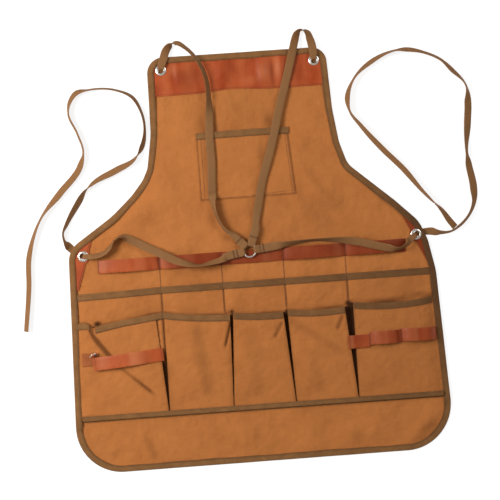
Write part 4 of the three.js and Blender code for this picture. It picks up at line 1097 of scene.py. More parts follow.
# how far the middle of each seam is pulled up at the mouth, and between which shares of the pocket's height
SEAM_PULL, PULL_BETWEEN = [0, 0.8, 0, 0, 0, 0], (0.5, 0.66)
PLEAT_DEPTH, PLEAT_FOLD, PLEAT_CLOSED, PLEAT_POINTS = 12.0, 1.5, 1.1, 4
POCKET_RISE, POCKET_CROWN, RISE_CURVE = 12.0, 2.2, 1.15
SIDE_LAND = 10.0
# height in the pocket, place of the tuck, its depth
TUCK = np.array([
    (0, -225, 0), (0.25, -232, 0), (0.46, -246, 0.12), (0.7, -274, 0.6), (0.93, -300, 0.95), (1, -301, 0.95),
])
# the floor of the tuck before its edge, and the lip after it
TUCK_FLOOR, TUCK_LIP = (10.0, 5.0), 4.0
# distance out from the sewn edge, share of the pocket's height
PLAIN_SIDE = [(12, 0.62), (26, 1), (40, 1)]
# share of the way across the front, share of its crown
FRONT_PARTS = [(0.25, 0.8), (0.5, 1), (0.75, 0.8)]
print("pockets:", len(POCKETS), "between", len(POCKET_SEAMS), "seams")


# %% Pocket sections
def pocket_side(kind, seam, way, opening, rise, share, pull):
    slope = (rise - 2 * PLEAT_FOLD) / 2
    fold = seam + way * opening
    deep = fold + way * PLEAT_DEPTH
    if kind == "pleat":
        start = (seam + way * GAP, pull * rise * ramp(share, *PULL_BETWEEN))
        folded = [(deep, slope), (deep, slope + PLEAT_FOLD)]
        return [start, *folded, (fold, 2 * slope + PLEAT_FOLD), (fold, rise)]
    if kind == "plain":
        start = [(seam, 0 * rise), (seam + way * SIDE_LAND, 0 * rise)]
        return start + [(seam + way * (SIDE_LAND + out), rise * part) for out, part in PLAIN_SIDE]
    tuck = np.interp(share, TUCK[:, 0], TUCK[:, 1])
    low = rise * (1 - np.interp(share, TUCK[:, 0], TUCK[:, 2]))
    floor = [(tuck - back, low) for back in TUCK_FLOOR]
    return [(seam, 0 * rise), *floor, (tuck, rise), (tuck + TUCK_LIP, rise)]


def pocket_section(number, share):
    """Points across a pocket at each share of its height: place, and height over its seams."""
    left_seam, right_seam = POCKET_SEAMS[number], POCKET_SEAMS[number + 1]
    left_side, right_side = POCKETS[number][3:]
    left = left_seam[1] + (left_seam[0] - left_seam[1]) * share
    right = right_seam[1] + (right_seam[0] - right_seam[1]) * share
    rise = 2 * PLEAT_FOLD + (POCKET_RISE - 2 * PLEAT_FOLD) * share ** RISE_CURVE
    crown = rise + POCKET_CROWN * np.sin(math.pi * share)
    openings = [PLEAT_CLOSED + (wide - PLEAT_CLOSED) * share for wide in (left_seam[3], right_seam[2])]
    start = pocket_side(left_side, left, 1, openings[0], rise, share, SEAM_PULL[number])
    end = pocket_side(right_side, right, -1, openings[1], rise, share, SEAM_PULL[number + 1])
    first, last = start[-1][0], end[-1][0]
    front = [(first + (last - first) * part, rise + (crown - rise) * full) for part, full in FRONT_PARTS]
    points = start + front + end[::-1]
    return np.stack([stacked(*point) for point in points], axis=1)


def mouth_at(number, x):
    if POCKETS[number][3] == "tuck":
        return np.interp(x, *SLIPPED_MOUTH.T)
    left, middle, right = POCKETS[number][:3]
    share = ramp(x, POCKET_SEAMS[number][0], POCKET_SEAMS[number + 1][0])
    return left + (right - left) * share + 4 * (middle - (left + right) / 2) * share * (1 - share)


print("pocket sections:", pocket_section(0, np.array([0.5])).shape[1], "points each")

# %% [markdown]
# ## Slot pockets
#
# The slot pockets are one panel sewn down in sections, so it bows out between its seams. It lies behind the
# lower pockets, whose mouths shade it, so their places are needed first. Each mouth tape folds over the edge.

# %% Slot pockets
SLOT_MOUTH, SLOT_FLAT, SLOT_GAPE, SLOT_INSET = -44.6, -98.0, 8.0, 4.0
SLOT_SEAMS = np.array([-328, -172, -57.3, 57.3, 172, 328])
SLOT_SAG = 3.5
SAG_BETWEEN = (170, 330)
SLOT_ROWS, SLOT_COLUMNS = 100, 36
# shade over the mouths below: how dark, how far it reaches, where it starts, and its waves along them
MOUTH_SHADE, MOUTH_REACH, MOUTH_CLEAR, MOUTH_WAVE = 0.62, 2.6, 1.3, 17.0
# that shade is stronger and reaches further to the right: between which places, and by how much
SHADE_BETWEEN, SHADE_STRONGER, SHADE_FURTHER = (60, 250), 0.2, 2.0
SLOT_SEAM_SHADE = 0.5
# painted shade on the panel above the mouths
SLOT_SHADE = [
    (150, -105, 13, 6, 0.5), (215, -101, 16, 5, 0.4), (262, -98, 30, 5, 0.42), (304, -91, 18, 5, 0.36),
    (250, -68, 80, 26, 0.1),
]
# painted shade in the hollows behind the twisted mouth and the open pleats: x, y, reach across, reach along
HOLLOW_SHADE = [(-293.5, -103.6, 7.0, 5.4), (171.7, -99.0, 6.5, 7.0), (-44.2, -99.0, 4.0, 4.5)]


def slot_low(x, y):
    k = np.clip(np.searchsorted(SLOT_SEAMS, x), 1, len(SLOT_SEAMS) - 1)
    left, right = SLOT_SEAMS[k - 1], SLOT_SEAMS[k]
    bow = np.maximum(0, 1 - ((x - (left + right) / 2) / ((right - left) / 2)) ** 2)
    return drape(x, y) + TRIM_LOW + SLOT_GAPE * bow * ramp(y, SLOT_FLAT, SLOT_MOUTH)


def slot_drop(x):
    """How far the mouth hangs lower towards its left end."""
    return SLOT_SAG * ramp(-x, *SAG_BETWEEN)


rows = np.linspace(POCKET_FOOT, SLOT_MOUTH, SLOT_ROWS)
left, right = edges_at(inset(outline, SLOT_INSET), rows)
between = [np.linspace(a, b, SLOT_COLUMNS, endpoint=False) for a, b in zip(SLOT_SEAMS, SLOT_SEAMS[1:])]
inside = np.append(np.concatenate(between), SLOT_SEAMS[-1])
x = np.concatenate([left[:, None], np.repeat(inside[None], len(rows), axis=0), right[:, None]], axis=1)
y = np.repeat(rows[:, None], x.shape[1], axis=1)
y = y - slot_drop(x) * ramp(y, SLOT_FLAT, SLOT_MOUTH)
number = np.clip(np.searchsorted(SLOT_SEAMS, x) - 1, 0, len(POCKETS) - 1)
mouth = np.choose(number, [mouth_at(k, x) for k in range(len(POCKETS))])
rightward = ramp(x, *SHADE_BETWEEN)
reach = MOUTH_REACH * (1 + SHADE_FURTHER * rightward)
shade = MOUTH_SHADE * (0.65 + 0.35 * np.sin(x / MOUTH_WAVE)) * (1 + SHADE_STRONGER * rightward)
layers = [shade * np.exp(-((np.maximum(y - mouth - MOUTH_CLEAR, 0) / reach) ** 2))]
layers += [spots(x, y, SLOT_SHADE), SLOT_SEAM_SHADE * np.isin(x, SLOT_SEAMS[1:-1])]
for hole_x, hole_y, across, along in HOLLOW_SHADE:
    layers.append(np.exp(-((((x - hole_x) / across) ** 2 + ((y - hole_y) / along) ** 2) ** 2)))
slot_pocket_panel = panel("slot_pocket_panel", x, y, slot_low, Deep=np.max(layers, axis=0))

# %% Mouth tapes of flat panels
FACE_STEPS = (4.0, 8.0, BAND_WIDTH)
CHEST_TAPE_COLUMNS = 70
# painted shade on the slot tape, growing to the right: strength, from x, to x
SLOT_TAPE_SHADE = [(0.3, -230, -130), (0.15, 0, 100), (0.16, 120, 260)]


def shade_ramps(x, table):
    return sum(strength * ramp(x, start, end) for strength, start, end in table)


def tape_along(name, x, line, deep):
    """Tape whose section, in places and heights, is given at each x."""
    sides = [offset(line, distance) for distance in (TAPE / 2, -TAPE / 2)]
    grids = [settled(stacked(x[:, None], side[..., 0], side[..., 1])) for side in sides]
    return wall(name, *grids, stacked(run(line), x[:, None]), TAPE_CLOTH, Deep=deep)


def mouth_shade(line, shade_level):
    """Painted shade for a mouth tape: dark on its lower edge, over a shade level of its own."""
    return np.maximum(edge_shade(line[:, ::-1])[:, ::-1], np.broadcast_to(shade_level, len(line))[:, None])


def lip_tape(name, x, mouth, low, shade_level=0.0):
    """Tape over the upper edge of a panel: a lip over the cut edge and a face down its front."""
    lip = mouth + GAP + TAPE / 2
    seat = CANVAS + GAP + TAPE / 2
    corners = [(lip, low(x, mouth)), (lip, low(x, mouth) + seat)]
    line = section_of(corners + [(mouth - depth, low(x, mouth - depth) + seat) for depth in FACE_STEPS])
    return dress(tape_along(name, x, line, mouth_shade(line, shade_level)), name)


x = np.linspace(-CHEST_HALF_WIDTH, chest_right(CHEST_MOUTH) + CHEST_TAPE_END, CHEST_TAPE_COLUMNS)
chest_pocket_tape = lip_tape("chest_pocket_tape", x, np.full(len(x), CHEST_MOUTH), chest_low)
slot_mouth = SLOT_MOUTH - slot_drop(inside)
slot_pocket_tape = lip_tape("slot_pocket_tape", inside, slot_mouth, slot_low, shade_ramps(inside, SLOT_TAPE_SHADE))

# %% [markdown]
# A softened section still has long straight stretches across its front. They are split evenly, and then
# the creases of the real cloth are pressed in: each is a valley along a line from one point to another.

# %% Pocket creases
# from x, y, to x, y, width, depth
CREASES = [
    (-262, -182, -206, -232.5, 3.2, 3.6), (-47, -118, -59, -157, 2.8, 4.6), (46, -127, 33, -149, 3.4, 2.6),
    (62, -122, 150, -184, 9.0, 1.0), (158, -123, 149, -142, 4.0, 2.6), (-110, -130, -96, -240, 12.0, 1.2),
    (-10, -140, -2, -250, 18.0, 0.7), (100, -190, 112, -262, 16.0, 0.7), (250, -210, 262, -268, 20.0, 0.8),
    (-300, -210, -262, -268, 12.0, 0.8),
]
CREASE_FADE = 0.14


def creased(x, y):
    total = np.zeros(np.broadcast(x, y).shape)
    for x0, y0, x1, y1, width, depth in CREASES:
        along = np.array([x1 - x0, y1 - y0])
        length = np.linalg.norm(along)
        share = ((x - x0) * along[0] + (y - y0) * along[1]) / length ** 2
        across = ((y - y0) * along[0] - (x - x0) * along[1]) / length
        fade = np.exp(-((np.maximum(np.maximum(-share, share - 1), 0) / CREASE_FADE) ** 2))
        total += depth * np.exp(-((across / width) ** 2)) * fade
    return total


def split(line, times):
    share = np.arange(times) / times
    parts = line[:, :-1, None] * (1 - share)[:, None] + line[:, 1:, None] * share[:, None]
    return np.concatenate([parts.reshape(len(line), -1, line.shape[2]), line[:, -1:]], axis=1)


print("creases:", len(CREASES))

# %% Pocket shade
# shade in the pleats at each seam: at the mouth, at the foot, and from which height to which it changes
SEAM_SHADE = [
    (0, 0, 0.45, 0.9), (0.04, 0.97, 0.5, 0.62), (0.95, 0.74, 0.55, 0.85), (0.97, 0.97, 0.45, 0.9),
    (1, 0.97, 0.45, 0.9), (0, 0, 0.45, 0.9),
]
# the shade in the tuck: how dark, how far behind its edge, how far it reaches, and from which depth to which
TUCK_SHADE, TUCK_LAG, TUCK_REACH, TUCK_BETWEEN = 0.68, 5.2, 6.4, (0.2, 0.45)
# painted shade along the sewn seams: how dark, and how far it reaches
SEAM_LINE, SEAM_REACH = 0.7, 1.6


def pleat_shade(number, share):
    """Paint for a pocket: how deep in a pleat each point of its section lies."""
    sides = []
    for side, kind in enumerate(POCKETS[number][3:]):
        mouth, foot, low, high = SEAM_SHADE[number + side]
        shade = foot + (mouth - foot) * ramp(share, low, high)
        sides.append((shade, shade, shade, shade, 0) if kind == "pleat" else (0,) * 5)
    points = [*sides[0], *(0,) * len(FRONT_PARTS), *sides[1][::-1]]
    return np.stack(np.broadcast_arrays(*points, share)[:-1], axis=1)[..., None]


def line_shade(number, share, x):
    """Paint for a pocket: dark along its sewn seams, and along the tuck."""
    shade = np.zeros_like(x)
    for side, kind in enumerate(POCKETS[number][3:]):
        mouth, foot = POCKET_SEAMS[number + side][:2]
        if kind == "pleat":
            beside = x - foot - (mouth - foot) * share
            shade = np.maximum(shade, SEAM_LINE * np.exp(-((beside / SEAM_REACH) ** 2)))
        if kind == "tuck":
            behind = x - np.interp(share, TUCK[:, 0], TUCK[:, 1]) + TUCK_LAG
            depth = ramp(np.interp(share, TUCK[:, 0], TUCK[:, 2]), *TUCK_BETWEEN)
            shade = np.maximum(shade, TUCK_SHADE * depth * np.exp(-((behind / TUCK_REACH) ** 4)))
    return shade


# %% Lower pockets
# painted shade over each pocket, darker to the right
POCKET_SHADE = (0.0, 0.0, 0.04, 0.035, 0.09)
POCKET_ROWS, FRONT_SPLIT = 60, 3
CREASE_SHADE = 0.19
# creases start between these shares of the front's height, and of the way up from the foot
CREASE_FRONT, CREASE_FOOT = (0.55, 0.95), (0.0, 0.2)


def pocket(number):
    name = f"lower_pocket_{number + 1}"
    share = np.linspace(0, 1, POCKET_ROWS)
    line = split(softened(pocket_section(number, share)), FRONT_SPLIT)
    deep = np.minimum(split(softened(pleat_shade(number, share)), FRONT_SPLIT)[..., 0], 1.0)
    y = POCKET_FOOT + (mouth_at(number, line[..., 0]) - POCKET_FOOT) * share[:, None]
    rise = line[:, line.shape[1] // 2, 1][:, None]
    front = ramp(line[..., 1] / rise, *CREASE_FRONT)
    pressed = creased(line[..., 0], y) * front * ramp(share, *CREASE_FOOT)[:, None]
    line[..., 1] -= pressed
    dark = line_shade(number, share[:, None], line[..., 0])
    deep = np.maximum(np.max([deep, CREASE_SHADE * pressed, dark], axis=0), POCKET_SHADE[number])
    grids = []
    for distance in (CANVAS / 2, -CANVAS / 2):
        side = offset(line, distance)
        grids.append(settled(stacked(side[..., 0], y, side[..., 1] + POCKET_MID)))
    obj = wall(name, *grids, stacked(run(line), y), CANVAS_CLOTH, Deep=deep)
    width = float(run(line)[:, -1].mean())
    return dress(obj, name), width


lower_pockets = [pocket(number) for number in range(len(POCKETS))]
print("pocket widths laid flat:", [round(width) for _, width in lower_pockets], "mm")

# %% Pocket mouth tapes
INNER_LEG, OUTER_LEG = 7.0, 10.6


def front_height(number, x, y):
    """Height of the middle of a pocket's front above the table."""
    share = ramp(y, POCKET_FOOT, mouth_at(number, x))
    heights = []
    for place, part in zip(np.ravel(x), np.ravel(share)):
        section = pocket_section(number, np.array([part]))[0]
        first = PLEAT_POINTS if POCKETS[number][3] == "pleat" else 0
        last = len(section) - (PLEAT_POINTS if POCKETS[number][4] == "pleat" else 0)
        heights.append(np.interp(place, *section[first:last].T))
    return POCKET_MID + np.array(heights).reshape(np.shape(x))


def fold_tape(name, x, mouth, high, low, shade_level):
    """Tape folded over a mouth, inside and out, from heights at the mouth and at its lower edge."""
    lip = mouth + GAP + TAPE / 2
    seat = CANVAS / 2 + GAP + TAPE / 2
    high = np.maximum(high, low)
    corners = [(mouth - INNER_LEG, high - seat), (lip, high - seat), (lip, high + seat)]
    corners += [(mouth - OUTER_LEG / 2, (high + low) / 2 + seat), (mouth - OUTER_LEG, low + seat)]
    line = section_of(corners)
    return tape_along(name, x, line, mouth_shade(line, shade_level))


def mouth_tape(name, number, x, sag=0.0, shade_level=0.0):
    mouth = mouth_at(number, x)
    high = front_height(number, x, mouth) - sag
    return fold_tape(name, x, mouth, high, front_height(number, x, mouth - OUTER_LEG) - sag, shade_level)


# %% [markdown]
# The tape of the first pocket goes on past its front: across the pleat to the second pocket on the right,
# where it sags, and in a length of its own down onto the sewn side on the left. The tapes are painted
# with shade, darker the further to the right they lie.

# %% Mouth tapes
BRIDGE_SAG, BRIDGE_END = 1.5, -168.2
MOUTH_TAPE_SHADE = (0.0, 0.05, 0.38, 0.28, 0.6)
TAPE_COLUMN, FEWEST_COLUMNS = 2.0, 12
# painted shade in a line where the tape crosses the first seam, and the ends of the length on the sewn side
BRIDGE_SHADE, BRIDGE_SHADE_REACH = 0.9, 1.5
SIDE_TAPE = (-334, -309)

pocket_tapes = []
for number, row in enumerate(POCKETS):
    section = pocket_section(number, np.array([1.0]))[0]
    last = len(section) - (PLEAT_POINTS if row[4] == "pleat" else 1)
    ends = section[PLEAT_POINTS:last, 0]
    name = f"lower_pocket_tape_{number + 1}"
    end = BRIDGE_END if number == 0 else ends[-1]
    x = np.linspace(ends[0], end, max(FEWEST_COLUMNS, int((end - ends[0]) / TAPE_COLUMN)))
    sag = BRIDGE_SAG * np.sin(math.pi * ramp(x, ends[-1], end + 0.01))
    crossing_shade = BRIDGE_SHADE * np.exp(-(((x - POCKET_SEAMS[1][0]) / BRIDGE_SHADE_REACH) ** 2))
    tape = mouth_tape(name, number, x, sag, np.maximum(MOUTH_TAPE_SHADE[number], crossing_shade))
    pocket_tapes.append(dress(tape, name))
dress(mouth_tape("lower_pocket_tape_1_side", 0, np.linspace(*SIDE_TAPE, FEWEST_COLUMNS)))

# %% [markdown]
# ## Lower band
#
# One more length of tape covers the raw feet of the pockets and steps down to the canvas below them.

# %% Lower band
BAND_TOP, BAND_LOW, BAND_STEP = -272.0, -284.0, (1.2, 1.4)
BAND_ENDS, BAND_COLUMNS = (-333.4, 334.4), 120
BAND_CROWN, BAND_ROUND = 0.9, 0.3
# painted shade on the band, growing to the right: strength, from x, to x
BAND_SHADE = [(0.42, 60, 250)]

band_high = POCKET_MID + 2 * PLEAT_FOLD + CANVAS / 2 + GAP + TAPE / 2
band_low = CANVAS_TOP + GAP + TAPE / 2
band_line = np.array([
    (BAND_TOP, band_high + BAND_CROWN), (POCKET_FOOT, band_high + BAND_ROUND),
    (POCKET_FOOT - BAND_STEP[0], band_high - BAND_ROUND), (POCKET_FOOT - BAND_STEP[1], band_low),
    (BAND_LOW, band_low),
])
x = np.linspace(*BAND_ENDS, BAND_COLUMNS)
line = softened(np.repeat(band_line[None], len(x), axis=0))
lower_band = dress(tape_along("lower_band", x, line, shade_ramps(x, BAND_SHADE)[:, None]), "lower_band")

# %% [markdown]
# ## Leather strips
#
# Three strips of the same leather hold tools and a towel. Each is sewn down at its lands and arches up
# between them, so its height along its length is a short table; its edges are pressed a little lower.

# %% Strip builder
# share of the width, how far the edge is pressed down
STRIP_EDGE = [(-0.5, 0.45), (-0.47, 0.1), (-0.3, 0.0), (0.0, 0.0), (0.3, 0.0), (0.47, 0.1), (0.5, 0.45)]


def strip(name, along, height, placed, hide=LEATHER_HIDE, **paint):
    """A strip through heights along its length; placed gives a point from along, across and height."""
    line = np.stack([along, height], axis=1)[None]
    sides = [offset(line, distance)[0] for distance in (LEATHER / 2, -LEATHER / 2)]
    grids = []
    for face, side in zip((1, -1), sides):
        lengthwise, raised = side.T
        grids.append(np.stack([placed(lengthwise, edge * LEATHER_STRIP, raised - face * drop)
                               for edge, drop in STRIP_EDGE]))
    across = np.array([edge for edge, _ in STRIP_EDGE]) * LEATHER_STRIP
    place = stacked(run(line)[0][None, :], across[:, None])
    return dress(wall(name, *grids, place, hide, **paint), name)


# %% Waist loop strip
WAIST_STRIP_MIDDLE = 1.0
# from, to, rise
WAIST_LOOPS = [(-287, -172, 7), (-172, -57.3, 6.5), (-57.3, 57.3, 1.5), (57.3, 172, 6.5), (172, 286, 7)]
SEWN_LAND, LOOP_FULLNESS, LOOP_COLUMNS = 4.0, 0.7, 36
# painted shade in the sewn lands and how soon it fades, an even darkening of the whole strip, and where
# painted shade darkens it more
LAND_SHADE, LAND_REACH, WAIST_TONE = 0.75, 0.8, 0.08
WAIST_SHADE = [(0.52, -165, -135), (0.25, 235, 262)]
# painted highlights along the strip: place, reach, strength
WAIST_SHEEN = [(-275, 8, 0.5), (-209, 13, 0.32), (-160, 8, 0.3), (26, 10, 0.6), (160, 7, 0.35)]


def spots_along(along, table):
    """Paint for a strip from a table of places, each with a reach and a strength."""
    return sum(strength * np.exp(-(((along - at) / reach) ** 2)) for at, reach, strength in table)


def on_waist(x, across, z):
    return settled(stacked(x, WAIST_STRIP_MIDDLE + across, z))


strip_low = TRIM_LOW + LEATHER / 2
share = np.linspace(0, 1, LOOP_COLUMNS)
arches = [stacked(start + SEWN_LAND / 2 + (end - start - SEWN_LAND) * share,
                  strip_low + rise * np.sin(math.pi * share) ** LOOP_FULLNESS)
          for start, end, rise in WAIST_LOOPS]
waist_line = np.concatenate(arches)
x, z = waist_line.T
lands = LAND_SHADE * np.exp(-(((z - strip_low) / LAND_REACH) ** 2))
paint = {"Deep": np.maximum(lands, WAIST_TONE + shade_ramps(x, WAIST_SHADE)), "Worn": spots_along(x, WAIST_SHEEN)}
waist_loop_strip = strip("waist_loop_strip", x, z, on_waist, **paint)

# %% Tool loops
TOOL_LOOPS_MIDDLE, TOOL_LOOPS_SEAT = -170.0, 190.0
# place, height over the pocket's front
TOOL_LOOPS = np.array([
    (166, 0.4), (173, 0.8), (186, 0), (203, 0), (207, 0), (213, 5.5), (224, 8.6), (242, 8.6), (254, 5.6),
    (260, 0), (267, 0), (273, 5.5), (285, 8.8), (300, 9), (315, 9.5), (325, 5), (329, 0),
])
# place, shift of the strip's middle
TOOL_SHIFT = np.array([(203, 0), (210, 5.0), (259, 5.0), (268, 6.6), (329, 5.4)])
# an even darkening of the whole strip, painted shade in its sewn lands, and painted highlights
TOOL_TONE = 0.4
TOOL_LAND_SHADE = [(206.5, 2.4, 0.85), (263.5, 2.4, 0.85)]
TOOL_SHEEN = [(172, 4, 0.7), (222, 9, 0.35), (234, 5, 0.4), (279, 10, 0.35), (290, 4, 0.45)]


def on_tools(x, across, z):
    return settled(stacked(x, TOOL_LOOPS_MIDDLE + np.interp(x, *TOOL_SHIFT.T) + across, z))


x, rise = TOOL_LOOPS.T
upper = np.full(len(x), TOOL_LOOPS_MIDDLE + LEATHER_STRIP / 2)
seat = front_height(len(POCKETS) - 1, np.maximum(x, TOOL_LOOPS_SEAT), upper) + CANVAS / 2
stations = stacked(x, seat + rise + 2 * GAP + LEATHER / 2)
tool_line = split(softened(stations[None]), 2)[0]
x, z = tool_line.T
paint = {"Deep": np.maximum(spots_along(x, TOOL_LAND_SHADE), TOOL_TONE), "Worn": spots_along(x, TOOL_SHEEN)}
tool_loop_strip = strip("tool_loop_strip", x, z, on_tools, **paint)

# %% Towel strap
TOWEL_MIDDLE, TOWEL_TURN = (-239.5, -172.0), math.radians(4.5)
# along, height
TOWEL_STATIONS = np.array([
    (-66, 15.5), (-52, 16.2), (-36, 19.8), (-8, 22.3), (20, 20.6), (42, 16.4), (54, 15.4), (64, 14.6),
])
# painted highlights along the strap: place, reach, strength
TOWEL_SHEEN = [(-52, 12, 0.55), (10, 12, 0.85), (27, 6, 0.35)]


def on_towel(along, across, z):
    x = TOWEL_MIDDLE[0] + along * math.cos(TOWEL_TURN) - across * math.sin(TOWEL_TURN)
    y = TOWEL_MIDDLE[1] + along * math.sin(TOWEL_TURN) + across * math.cos(TOWEL_TURN)
    return settled(stacked(x, y, z))


towel_line = split(softened(TOWEL_STATIONS[None]), 2)[0]
wear_and_sheen = spots_along(towel_line[:, 0], TOWEL_SHEEN)
towel_strap = strip("towel_strap", *towel_line.T, on_towel, Worn=wear_and_sheen)

# %% Towel strap tab
TAB_MIDDLE, TAB_ENDS, TAB_COLUMNS, TAB_TONE = -168.0, (-326, -296), 14, 0.16


def on_tab(x, across, z):
    return settled(stacked(x, TAB_MIDDLE + across, z))


x = np.linspace(*TAB_ENDS, TAB_COLUMNS)
edges = [np.full(len(x), TAB_MIDDLE + half * LEATHER_STRIP) for half in (-0.5, 0.5)]
seat = np.max([front_height(0, x, edge) for edge in edges], axis=0)
z = seat + CANVAS / 2 + 2 * GAP + LEATHER / 2
towel_strap_tab = strip("towel_strap_tab", x, z, on_tab, LEATHER_FLESH, Deep=np.full(len(x), TAB_TONE))

# %% [markdown]
# ## Metal
#
# Eyelets, ring and snap are turned shapes: a closed section spun round an axis. A fine section with a
# rolled rim catches the light where the real plated rim does.

# %% Turned shapes
def turned(name, section, sides, turn=None, move=(0.0, 0.0, 0.0), closed=True):
    """A section of radius and height in millimetres, spun round the vertical axis, turned and moved."""
    section = np.array(section, float)
    angle = np.linspace(0, 2 * math.pi, sides, endpoint=False)[:, None]
    points = stacked(section[:, 0] * np.cos(angle), section[:, 0] * np.sin(angle), section[:, 1] + 0 * angle)
    if turn is not None:
        points = points @ turn.T
    points = points + np.array(move)
    grid = np.arange(sides * len(section)).reshape(sides, len(section))
    grid = np.concatenate([grid, grid[:1]])
    if closed:
        grid = np.concatenate([grid, grid[:, :1]], axis=1)
    mesh = bpy.data.meshes.new(name)
    mesh.from_pydata((points.reshape(-1, 3) * MM).tolist(), [], quads(grid).tolist())
    shape = bmesh.new()
    shape.from_mesh(mesh)
    bmesh.ops.remove_doubles(shape, verts=shape.verts, dist=1e-7)
    bmesh.ops.recalc_face_normals(shape, faces=shape.faces)
    shape.to_mesh(mesh)
    shape.free()
    mesh.shade_smooth()
    mesh.set_sharp_from_angle(angle=SHARP_EDGE)
    return dress(put(name, mesh, NICKEL), name)


def circle(radius, wire, count):
    angle = np.linspace(0, 2 * math.pi, count, endpoint=False)
    return np.stack([radius + wire * np.cos(angle), wire * np.sin(angle)], axis=1)


# %% Eyelets and ring
EYELET_HOLE, EYELET_BARREL, EYELET_FLANGE, EYELET_SHEET = 6.0, 6.8, 10.0, 0.8
EYELET_STEPS, RING_STEPS, WIRE_STEPS = 64, 96, 20

low = EYELET_LIFT + CANVAS_LOW - GAP - EYELET_SHEET
high = EYELET_LIFT + TRIM_TOP + GAP
eyelet_section = [
    (EYELET_HOLE, low + 0.2), (EYELET_HOLE + 0.5, low), (EYELET_FLANGE - 0.3, low),
    (EYELET_FLANGE, low + 0.4), (EYELET_FLANGE - 0.2, low + EYELET_SHEET),
    (EYELET_BARREL, low + EYELET_SHEET), (EYELET_BARREL, high), (EYELET_FLANGE - 0.1, high),
    (EYELET_FLANGE, high + 0.25), (EYELET_FLANGE - 0.3, high + 0.62), (EYELET_FLANGE - 1.1, high + 1.0),
    (EYELET_BARREL + 0.9, high + 1.3), (EYELET_BARREL, high + 1.25), (EYELET_HOLE + 0.3, high + 0.95),
    (EYELET_HOLE, high + 0.4),
]
for name, (x, y) in EYELETS.items():
    turned(name, eyelet_section, EYELET_STEPS, move=(x, y, 0.0))
ring_section = circle(RING["radius"], RING["wire"], WIRE_STEPS)
turned("back_ring", ring_section, RING_STEPS, move=(RING["x"], RING["y"], RING["z"]))

# %% Snap
SNAP_PLACE, SNAP_TURN, SNAP_LEAN = (-303.4, -160.6, 16.2), math.radians(24), math.radians(60)
SNAP_STEPS = 48
SNAP_SECTION = [
    (0, -1.3), (3.6, -1.3), (4.4, -1.1), (7.2, -0.2), (8.0, 0.15), (7.9, 0.6), (7.2, 1.1), (6.2, 1.3),
    (4.6, 1.05), (2.6, 1.2), (0, 1.3),
]
turn = np.array(Matrix.Rotation(SNAP_TURN, 3, "Z") @ Matrix.Rotation(SNAP_LEAN, 3, "X"))
towel_strap_snap = turned("towel_strap_snap", SNAP_SECTION, SNAP_STEPS, turn, SNAP_PLACE, closed=False)

# %% [markdown]
# ## Stitches
#
# Hundreds of stitches follow the seams, so Geometry Nodes place them: a seam is a curve, points are set
# along it at the stitch length, and one small bead of thread is put on each and turned along the seam.
# The result is turned into a plain mesh, because instances don't survive an export.

# %% Thread finish
def thread_finish(name, dark, light):
    finish = Finish(name)
    place = finish.node("ShaderNodeTexCoord", output=3)
    ply = finish.noise(place, 1800.0, 2.0)
    wear_and_sheen = finish.noise(place, 60.0, 2.0)
    colour = finish.mix(ply * 0.6 + wear_and_sheen * 0.4, dark, light)
    normal = finish.bump(ply, 0.0002, 0.4)
    return finish.done(Base_Color=colour, Roughness=0.62 + ply * 0.2, Normal=normal)


OLIVE_THREAD = thread_finish("olive thread", (0.105, 0.045, 0.015, 1.0), (0.220, 0.100, 0.036, 1.0))
BROWN_THREAD = thread_finish("brown thread", (0.060, 0.018, 0.006, 1.0), (0.140, 0.044, 0.015, 1.0))

# %% Stitch tree
STITCH_SIZES = {"Pitch": 0.0032, "Length": 0.0024, "Thickness": 0.0006}
BEAD_SIZES = {"Segments": 6, "Rings": 4, "Radius": 0.5}


def stitch_tree():
    tree = bpy.data.node_groups.new("stitches", "GeometryNodeTree")
    face = tree.interface
    face.new_socket("Seam", in_out="INPUT", socket_type="NodeSocketGeometry")
    for name, value in STITCH_SIZES.items():
        socket = face.new_socket(name, in_out="INPUT", socket_type="NodeSocketFloat")
        socket.default_value = value
    face.new_socket("Thread", in_out="INPUT", socket_type="NodeSocketMaterial")
    face.new_socket("Stitches", in_out="OUTPUT", socket_type="NodeSocketGeometry")

    def node(kind, **settings):
        made = tree.nodes.new(kind)
        for key, value in settings.items():
            setattr(made, key, value)
        return made

    start, end = node("NodeGroupInput"), node("NodeGroupOutput")
    points = node("GeometryNodeCurveToPoints", mode="LENGTH")
    bead = node("GeometryNodeMeshUVSphere")
    for name, value in BEAD_SIZES.items():
        bead.inputs[name].default_value = value
    size = node("ShaderNodeCombineXYZ")
    aim = node("FunctionNodeAlignRotationToVector", axis="Z")
    place = node("GeometryNodeInstanceOnPoints")
    real, paint = node("GeometryNodeRealizeInstances"), node("GeometryNodeSetMaterial")
    links = [
        (start, "Seam", points, "Curve"), (start, "Pitch", points, "Length"), (start, "Thickness", size, "X"),
        (start, "Thickness", size, "Y"), (start, "Length", size, "Z"), (points, "Tangent", aim, "Vector"),
        (points, "Points", place, "Points"), (bead, "Mesh", place, "Instance"),
        (aim, "Rotation", place, "Rotation"), (size, "Vector", place, "Scale"),
        (place, "Instances", real, "Geometry"), (real, "Geometry", paint, "Geometry"),
        (start, "Thread", paint, "Material"), (paint, "Geometry", end, "Stitches"),
    ]
    for source, output, target, socket in links:
        tree.links.new(source.outputs[output], target.inputs[socket])
    return tree


STITCH_TREE = stitch_tree()
print("stitch tree:", len(STITCH_TREE.nodes), "nodes")

# %% [markdown]
# A seam is drawn as points on the top of what it holds, in millimetres. Each kind of thread gathers its
# seams into one curve, so one mesh holds all its stitches.

# %% Seams on tape
STITCH_RISE = 0.15
# distance of a seam from the edge of the tape, and of its ends from the tape's ends
BINDING_SEAM, TAPE_SEAM, SEAM_END, POCKET_SEAM_END = 2.2, 1.6, 2.0, 1.5
olive_seams, brown_seams = [], []


def seam(seams, x, y, height):
    seams.append(settled(stacked(x, y, height + STITCH_RISE)))


